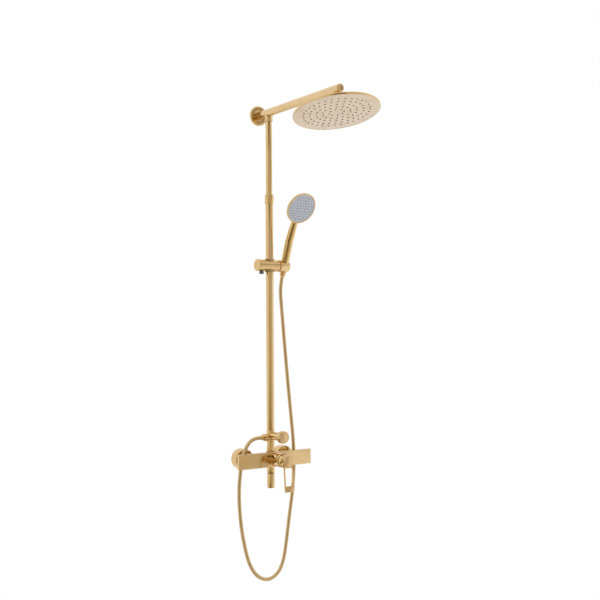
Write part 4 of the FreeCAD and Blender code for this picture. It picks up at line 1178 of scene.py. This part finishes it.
    def copy_right(
        self, left: bpy.types.Object, name: str, step: float, finish: Finish, slot: str, node: str, other: str
    ) -> None:
        """Dresses a piece and a copy of it, moved along X.

        Args:
            left: the piece that is modelled.
            name: the copy's name.
            step: how far the copy is moved, in millimetres.
            finish: the finish of both.
            slot: the material slot of both.
            node: the node that the piece stands for.
            other: the node that the copy stands for.
        """
        pick(left)
        bpy.ops.object.duplicate(linked=False)
        right = bpy.context.object
        right.name = name
        right.location = Vector((step, 0, 0)) * MM
        bpy.ops.object.transform_apply(location=True, rotation=True, scale=True)
        dress(left, finish, self.body, slot, node)
        dress(right, finish, self.body, slot, other)

    def build(self) -> None:
        """The plate, the sleeve, the lever and what lies at the wall."""
        self.plate()
        self.hub()
        self.sleeve()
        self.dome()
        self.stem()
        self.cap()
        self.loop()
        self.cups()
        self.nuts()


@dataclass
class DiverterSet:
    """The diverter with its knob, and the hose's first fittings."""

    knob_ribs: int = 0
    body: str = "wall_body"

    def housing(self) -> None:
        """The barrel on the column, its tapered boss and its outlet, joined."""
        reach, nut = Reach.of("diverter_body"), Reach.of("hose_nut")
        knob, y = Reach.of("diverter_knob"), Reach.of("lower_tube").mid.y
        bottom, top, z = 50.0, 88.0, knob.mid.z
        at = (0, y, 0)
        r, tube = 12.8, 12.0
        barrel = spun("diverter_barrel", [(0, 20.0), (tube, 20.0), (tube, bottom), (r - 0.4, bottom), (r, bottom + 0.4),
                                          (r, top - 0.4), (r - 0.4, top), (10.75, top), (10.75, reach.high.z), (0, reach.high.z)], at,
                      Along.UP, 0)
        end = y - (knob.high.y + 0.4)
        boss = spun("boss", [(0, 0), (10.0, 0), (14.0, end - 0.6), (13.4, end), (0, end)], (0, y, z), Along.OUT, 0)
        outlet = spun("outlet", [(0, 0), (8.6, 0), (8.6, 13.8), (9.6, 13.8), (9.6, 22.0), (0, 22.0)], (0, y, nut.mid.z), Along.LEFT, 0)
        carve(barrel, boss, "UNION")
        carve(barrel, outlet, "UNION")
        water = spun("water", rod_outline(6.0, 19.0, reach.high.z + 1), at, Along.UP, 0)
        spindle = spun("spindle", rod_outline(5.08, -6.0, end + 1), (0, y, z), Along.OUT, 0)
        hose = spun("hose", rod_outline(5.0, 4.0, 34.0), (0, y, nut.mid.z), Along.LEFT, 0)
        for tool in (water, spindle, hose):
            carve(barrel, tool)
        dress(eased(barrel, 0.5, 3), GOLD, self.body, "gold", "diverter_body")

    def knob(self) -> None:
        """The round knob with a dished front and a ring line."""
        reach = Reach.of("diverter_knob")
        r, t = reach.size.x / 2, reach.size.y
        outline = [
            (5.05, 0), (r - 1.0, 0), (r, 1.0), (r, t - 2.0), (r - 0.5, t - 0.8), (r - 1.6, t - 0.05), (r - 2.6, t), (r - 3.0, t - 0.35),
            (r - 3.7, t - 0.35), (r - 4.1, t), (0, t - 0.3), (0, t - 7.0), (5.05, t - 7.0), (5.05, 0),
        ]
        knob = spun("diverter_handle", outline, (0, reach.high.y, reach.mid.z), Along.OUT, 0.12, 128)
        dress(knob, GOLD, "diverter", "gold", "diverter_knob")

    def nut(self) -> None:
        """The hose nut: round, with a knurled band."""
        reach = Reach.of("hose_nut")
        r, t = reach.size.z / 2, reach.size.x
        seat = 22.0 + 2.0 + 1.8 + reach.high.x
        outline = [(9.65, 0), (r - 0.6, 0), (r, 0.6)]
        for k in range(4):
            z = 2.0 + 2.0 * k
            outline += [(r, z), (r - 0.35, z + 0.35), (r - 0.35, z + 0.8), (r, z + 1.15)]
        outline += [(r, t - 2.2), (r - 1.6, t), (7.25, t), (7.25, seat), (9.65, seat), (9.65, 0)]
        nut = spun("hose_union", outline, (reach.high.x, reach.mid.y, reach.mid.z), Along.LEFT, 0.1)
        dress(nut, GOLD, self.body, "gold", "hose_nut")

    def ferrule(self) -> None:
        """The crimped ferrule at the hose's start."""
        reach = Reach.of("hose_ferrule_lower")
        length, r = reach.size.x, 7.2
        outline = [(4.0, 0), (9.3, 0), (9.3, 1.8), (r, 1.8), (r, 5.2)]
        for k in range(3):
            z = 5.6 + 1.7 * k
            outline += [(r, z), (r - 0.3, z + 0.3), (r - 0.3, z + 0.7), (r, z + 1.0)]
        outline += [(r, length - 0.8), (r - 0.8, length), (4.0, length), (4.0, 0)]
        ferrule = spun("hose_crimp", outline, (reach.high.x, reach.mid.y, reach.mid.z), Along.LEFT, 0.08)
        dress(ferrule, GOLD, self.body, "gold", "hose_ferrule_lower")

    def build(self) -> None:
        """Barrel, knob, nut and ferrule."""
        self.housing()
        self.knob()
        self.nut()
        self.ferrule()


@dataclass
class LowerSpout:
    """The straight spout below the mixer."""

    step: float = -42.0
    body: str = "spout"

    def neck(self) -> None:
        """The fixed neck that the sleeve slides on."""
        reach = Reach.of("spout_neck")
        r, guide, bore = reach.size.x / 2, 10.4, 6.0
        outline = [(bore, reach.low.z), (guide - 0.5, reach.low.z), (guide, reach.low.z + 0.5), (guide, self.step), (r - 0.4, self.step),
                   (r, self.step + 0.4), (r, reach.high.z), (bore, reach.high.z), (bore, reach.low.z)]
        dress(spun("spout_stem", outline, (0, reach.mid.y, 0), Along.UP, 0.15), BRASS, "wall_body", "raw_brass", "spout_neck")

    def skin(self) -> None:
        """The plated skin of the neck's upper part."""
        reach = Reach.of("spout_neck")
        r = reach.size.x / 2 + 0.04
        outline = tube_outline(r, r - 0.5, self.step, reach.high.z)
        dress(spun("spout_collar", outline, (0, reach.mid.y, 0), Along.UP, 0.1), GOLD, "wall_body", "gold")

    def sleeve(self) -> None:
        """The sliding sleeve with a rolled lower edge."""
        reach, guide = Reach.of("spout_sleeve"), 10.48
        r, low, high = reach.size.x / 2, reach.low.z, reach.high.z
        outline = [(guide, low), (r - 0.9, low), (r - 0.2, low + 0.4), (r, low + 1.2), (r, high - 0.5), (r - 0.5, high),
                   (guide, high), (guide, low)]
        dress(spun("spout_end", outline, (0, reach.mid.y, 0), Along.UP, 0.1), TUBE_GOLD, self.body, "gold", "spout_sleeve")

    def build(self) -> None:
        """Neck, skin and sleeve."""
        self.neck()
        self.skin()
        self.sleeve()


# ---------------------------------------------------------------- hose
class Part(Enum):
    """The stretches of the hose and the two bodies that each one joins."""

    LOOP = ("wall_body", "wall_body")
    MAIN = ("wall_body", "runner")
    TO_SLIDER = ("runner", "slider")
    TO_HOLDER = ("slider", "holder")
    TO_HAND = ("holder", "hand_shower")


@dataclass
class Hose:
    """The flexible hose from the diverter, round its loop and up to the hand shower."""

    route: tuple[Point, ...] = (
        (-0.036, -0.0615, 0.0665), (-0.052, -0.0615, 0.0665), (-0.071, -0.0615, 0.0613), (-0.0874, -0.0615, 0.0466),
        (-0.0988, -0.0615, 0.0221), (-0.1104, -0.0615, -0.0183), (-0.1188, -0.062, -0.0979), (-0.112, -0.0615, -0.1895),
        (-0.0975, -0.060, -0.262), (-0.080, -0.059, -0.320), (-0.051, -0.0575, -0.362), (-0.009, -0.056, -0.380),
        (0.031, -0.054, -0.364), (0.054, -0.052, -0.323), (0.066, -0.050, -0.262), (0.078, -0.048, -0.190),
        (0.093, -0.047, -0.110), (0.0993, -0.047, -0.025), (0.0965, -0.047, 0.050), (0.0858, -0.048, 0.140),
        (0.0742, -0.048, 0.250), (0.0638, -0.047, 0.365), (0.057, -0.043, 0.470), (0.054, -0.03907, 0.53234),
        (0.054, -0.05207, 0.56805),
    )
    radius: float = 6.0
    pitch: float = 3.2
    depth: float = 0.55
    sides: int = 20
    rows: int = 5
    last: float = 0.078
    body: str = "wall_body"

    def spline(self, points: Sequence[Vector], smooth: bool = True) -> bpy.types.Object:
        """A NURBS line through the route's control points."""
        data = bpy.data.curves.new("hose_line", "CURVE")
        data.dimensions = "3D"
        line = data.splines.new("NURBS" if smooth else "POLY")
        line.points.add(len(points) - 1)
        for point, place in zip(line.points, points):
            point.co = (*place, 1.0)
        if smooth:
            line.order_u = 3
            line.use_endpoint_u = True
            line.resolution_u = 48
        obj = bpy.data.objects.new("hose_line", data)
        bpy.context.collection.objects.link(obj)
        return obj

    def centreline(self) -> list[Vector]:
        """Evenly spaced points along the whole hose."""
        obj = self.spline([Vector(p) for p in self.route])
        bpy.context.view_layer.update()
        mesh = bpy.data.meshes.new_from_object(obj)
        raw = [v.co.copy() for v in mesh.vertices]
        bpy.data.meshes.remove(mesh)
        bpy.data.objects.remove(obj)
        gaps = [(b - a).length for a, b in zip(raw, raw[1:])]
        total = sum(gaps)
        step = self.pitch * MM / self.rows
        count = round(total / step)
        spaced, k, walked = [raw[0]], 0, 0.0
        for i in range(1, count):
            want = total * i / count
            while walked + gaps[k] < want:
                walked += gaps[k]
                k += 1
            spaced.append(raw[k].lerp(raw[k + 1], (want - walked) / gaps[k]))
        spaced.append(raw[-1])
        LOG.info("hose length %.1f mm", total / MM)
        return spaced

    def tube(self, name: str, line: Sequence[Vector], start: int, normal: Vector) -> tuple[bpy.types.Object, Vector]:
        """A corrugated tube along a line.

        Args:
            name: the piece's name.
            line: its centre points.
            start: how many rows of the hose lie before it.
            normal: the first row's first direction.

        Returns:
            The piece, and the direction its last row ends with.
        """
        verts, crowns = [], []
        last = len(line) - 1
        for i, place in enumerate(line):
            ahead = (line[min(i + 1, last)] - line[max(i - 1, 0)]).normalized()
            normal = (normal - ahead * normal.dot(ahead)).normalized()
            side = ahead.cross(normal)
            crown = 0.5 + 0.5 * math.cos(TURN * ((start + i) % self.rows) / self.rows)
            r = (self.radius - self.depth * (1 - crown)) * MM
            for k in range(self.sides):
                a = TURN * k / self.sides
                verts.append(place + (normal * math.cos(a) + side * math.sin(a)) * r)
                crowns.append(crown)
        faces = []
        for i in range(last):
            for k in range(self.sides):
                n = (k + 1) % self.sides
                a, b = i * self.sides, (i + 1) * self.sides
                faces.append((a + k, a + n, b + n, b + k))
        ends = [list(range(self.sides - 1, -1, -1)), [last * self.sides + k for k in range(self.sides)]]
        mesh = bpy.data.meshes.new(name)
        mesh.from_pydata(verts, [], faces + ends)
        layer = mesh.attributes.new("crown", "FLOAT", "POINT")
        layer.data.foreach_set("value", crowns)
        obj = bpy.data.objects.new(name, mesh)
        bpy.context.collection.objects.link(obj)
        pick(obj)
        edit()
        bpy.ops.mesh.normals_make_consistent(inside=False)
        leave()
        bpy.ops.object.shade_smooth_by_angle(angle=math.radians(70))
        return obj, normal

    def build(self) -> None:
        """Five tubes end to end: the fixed loop on the wall body, then one for each stretch between two bodies."""
        line = self.centreline()
        step = (line[1] - line[0]).length
        short = round(self.last / step)
        lowest = min(range(len(line)), key=lambda i: line[i].z)
        cuts = [0, lowest, *(len(line) - 1 - short * count for count in (3, 2, 1, 0))]
        normal = Vector((0, 1, 0))
        for part, first, final in zip(Part, cuts, cuts[1:]):
            stretch = line[first:final + 1]
            obj, normal = self.tube(f"hose_{part.name.lower()}", stretch, first, normal)
            obj.data.materials.append(HOSE.material())
            if part is Part.LOOP:
                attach(obj, self.body)
            elif part is Part.MAIN:
                foot = stretch[0]
                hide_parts("shower_hose")
                tuple(foot)
                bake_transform(obj)
            else:
                tuple(stretch[0])
                tuple(stretch[-1])
                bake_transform(obj)
            sub = stretch[::max(1, len(stretch) // 60)]
            tuple(stretch[0])
            step * (final - first)
            2 * self.radius * MM
            [tuple(p) for p in (*sub[:-1], stretch[-1])]
            LOG.info("%-22s %6d faces", obj.name, len(obj.data.polygons))


# ---------------------------------------------------------------- pieces inside
@dataclass
class Inside:
    """The nodes that are shown as they are, with the finish of each."""

    finishes: tuple[tuple[Finish, str], ...] = (
        (BRASS, "s_union_left s_union_right valve_body cartridge_nut wall_plate"),
        (STEEL, "cartridge_turret diverter_spindle fulcrum_pin lever_screw collar_screw wall_screws brake_spring holder_bolt"),
        (SEAL, "inlet_washers plate_gasket cartridge_seals hose_washer handset_washer head_gasket"),
        (ACETAL, "cartridge_body ball_seat swivel_ring collar_bush aerator"),
        (DARK, "brake_pad"),
    )

    def build(self) -> None:
        """Gives each node its finish; its mesh is left alone."""
        for finish, names in self.finishes:
            for name in names.split():
                node = frame["nodes"][name]
                node.data.materials.clear()
                node.data.materials.append(finish.material())


# ---------------------------------------------------------------- room
@dataclass
class Studio:
    """Plain floor, soft studio light and the camera."""

    floor_z: float = -0.95
    stand: Point = (-1.6446, -2.5156, 0.3915)
    look: Point = (0.5743, 0.8187, 0.0009)
    roll: float = -0.36
    lens: float = 56.93
    shift: tuple[float, float] = (0.0163, 0.0526)
    below: Stops = (
        (0.00, (0.36, 0.31, 0.20)), (0.05, (0.10, 0.07, 0.02)), (0.12, (0.20, 0.15, 0.07)), (0.20, (0.34, 0.29, 0.19)),
        (0.27, (0.46, 0.42, 0.34)), (0.35, (0.74, 0.71, 0.66)), (0.45, (0.95, 0.93, 0.90)), (0.60, (0.78, 0.76, 0.74)),
        (0.85, (0.78, 0.76, 0.73)), (0.94, (0.72, 0.70, 0.62)),
        (1.00, (0.36, 0.31, 0.20)),
    )
    level: Stops = (
        (0.00, (0.78, 0.76, 0.68)), (0.08, (0.56, 0.49, 0.33)), (0.135, (0.44, 0.37, 0.24)), (0.155, (0.38, 0.31, 0.19)),
        (0.18, (0.44, 0.38, 0.27)), (0.24, (0.56, 0.50, 0.40)), (0.325, (0.54, 0.49, 0.42)), (0.338, (0.45, 0.42, 0.40)), (0.352, (0.78, 0.76, 0.76)), (0.43, (0.87, 0.89, 0.97)),
        (0.52, (0.96, 0.96, 0.96)), (0.70, (0.70, 0.70, 0.70)), (0.80, (0.82, 0.82, 0.82)), (1.00, (0.78, 0.76, 0.68)),
    )
    above: Stops = (
        (0.00, (0.74, 0.70, 0.62)), (0.10, (0.57, 0.52, 0.45)), (0.155, (0.48, 0.44, 0.41)), (0.25, (0.48, 0.44, 0.39)),
        (0.342, (0.33, 0.27, 0.19)), (0.40, (0.65, 0.63, 0.59)), (0.50, (0.87, 0.87, 0.87)), (0.80, (0.82, 0.82, 0.82)),
        (1.00, (0.74, 0.70, 0.62)),
    )

    high: Stops = (
        (0.00, (0.80, 0.78, 0.74)), (0.10, (0.62, 0.57, 0.48)), (0.13, (0.09, 0.06, 0.02)), (0.21, (0.09, 0.06, 0.02)),
        (0.24, (0.55, 0.50, 0.42)), (0.34, (0.62, 0.58, 0.52)), (0.50, (0.86, 0.86, 0.86)), (1.00, (0.80, 0.78, 0.74)),
    )

    def floor(self) -> None:
        """A pale floor up to the wall's line; the metal does not mirror it."""
        bpy.ops.object.select_all(action="DESELECT")
        bpy.ops.mesh.primitive_plane_add(size=1, location=(0, -1.9, self.floor_z), scale=(1, 1, 1))
        floor = bpy.context.object
        floor.name = "floor"
        floor.scale = (5.0, 3.8, 1.0)
        bpy.ops.object.transform_apply(location=True, rotation=True, scale=True)
        floor.data.materials.append(Moulding("floor paint", (0.86, 0.86, 0.86), (0.82, 0.82, 0.82), 0.5, 0.01, 0.0001).material())
        floor.visible_glossy = False

    def world(self) -> None:
        """White for the camera, and a soft studio of three bands for what the metal mirrors."""
        world = bpy.data.worlds.new("studio")
        world.use_nodes = True
        bpy.context.scene.world = world
        graph = Graph(world.node_tree)
        where = graph.node("ShaderNodeTexCoord", {}, {}, "Generated")
        x, y, z = graph.axes(where)
        turn = graph.node("ShaderNodeMath", {"operation": "ARCTAN2"}, [y, x]) / TURN + 0.5
        below, level, above, high = (
            graph.node("ShaderNodeValToRGB", {"stops": stops}, [turn], "Color")
            for stops in (self.below, self.level, self.above, self.high)
        )
        foot = graph.mix(z.smooth(-0.88, -0.66), rgb(0.70, 0.66, 0.56), below)
        lower = graph.mix(z.smooth(-0.48, -0.12), foot, level)
        upper = graph.mix(z.smooth(0.02, 0.26), lower, above)
        top = graph.mix(z.smooth(0.30, 0.38), upper, high)
        sky = graph.mix(z.smooth(0.55, 0.85), top, rgb(0.86, 0.84, 0.80))
        ray = graph.node("ShaderNodeLightPath", {}, {}, "Is Camera Ray")
        lit = graph.node("ShaderNodeBackground", {}, {"Color": sky, "Strength": 1.15})
        seen = graph.node("ShaderNodeBackground", {}, {"Color": rgb(1, 1, 1), "Strength": 1.0})
        graph.finish(graph.node("ShaderNodeMixShader", {}, [ray, lit, seen]), "ShaderNodeOutputWorld")

    def lights(self) -> None:
        """Three large soft lamps."""
        rows = (
            ("key", (1.5, -2.6, 2.2), 55.0, 1.6, (1.0, 0.97, 0.92)),
            ("fill", (-2.8, -1.2, 1.4), 22.0, 1.8, (1.0, 0.98, 0.95)),
            ("low", (0.4, -2.4, -0.4), 10.0, 1.5, (1.0, 0.95, 0.88)),
        )
        for name, place, power, size, colour in rows:
            bpy.ops.object.select_all(action="DESELECT")
            aim = Vector((0, -0.1, 0.4)) - Vector(place)
            turn = aim.to_track_quat("-Z", "Y").to_euler()
            bpy.ops.object.light_add(type="AREA", location=place, rotation=turn)
            lamp = bpy.context.object
            lamp.name = name
            lamp.data.energy = power
            lamp.data.size = size
            lamp.data.color = colour
            lamp.visible_glossy = False

    def camera(self) -> None:
        """The camera, with no depth of field."""
        forward = Vector(self.look).normalized()
        right = forward.cross(Vector((0, 0, 1))).normalized()
        up = right.cross(forward)
        a = math.radians(self.roll)
        across = right * math.cos(a) + up * math.sin(a)
        above = across.cross(forward)
        turn = Matrix((across, above, -forward)).transposed().to_4x4()
        bpy.ops.object.select_all(action="DESELECT")
        bpy.ops.object.camera_add()
        camera = bpy.context.object
        camera.matrix_world = Matrix.Translation(Vector(self.stand)) @ turn
        camera.data.lens = self.lens
        camera.data.sensor_width = 36.0
        camera.data.shift_x, camera.data.shift_y = self.shift
        camera.data.clip_end = 30.0
        camera.data.dof.use_dof = False
        bpy.context.scene.camera = camera
        bpy.context.scene.view_settings.view_transform = "Standard"

    def build(self) -> None:
        """Floor, world, lights and camera."""
        self.floor()
        self.world()
        self.lights()
        self.camera()


def main() -> None:
    """Builds every piece in order, from the wall outwards, and then the room."""
    logging.basicConfig(level=logging.INFO, format="%(message)s")
    slider = SliderAssembly()
    pieces = (
        Mixer(), DiverterSet(), LowerSpout(), Riser(), OverheadArm(), RainHead(), slider, HandShower(slider), Hose(),
        Inside(), Studio(),
    )
    for piece in pieces:
        LOG.info("building %s", type(piece).__name__)
        piece.build()


if __name__ == "__main__":
    main()
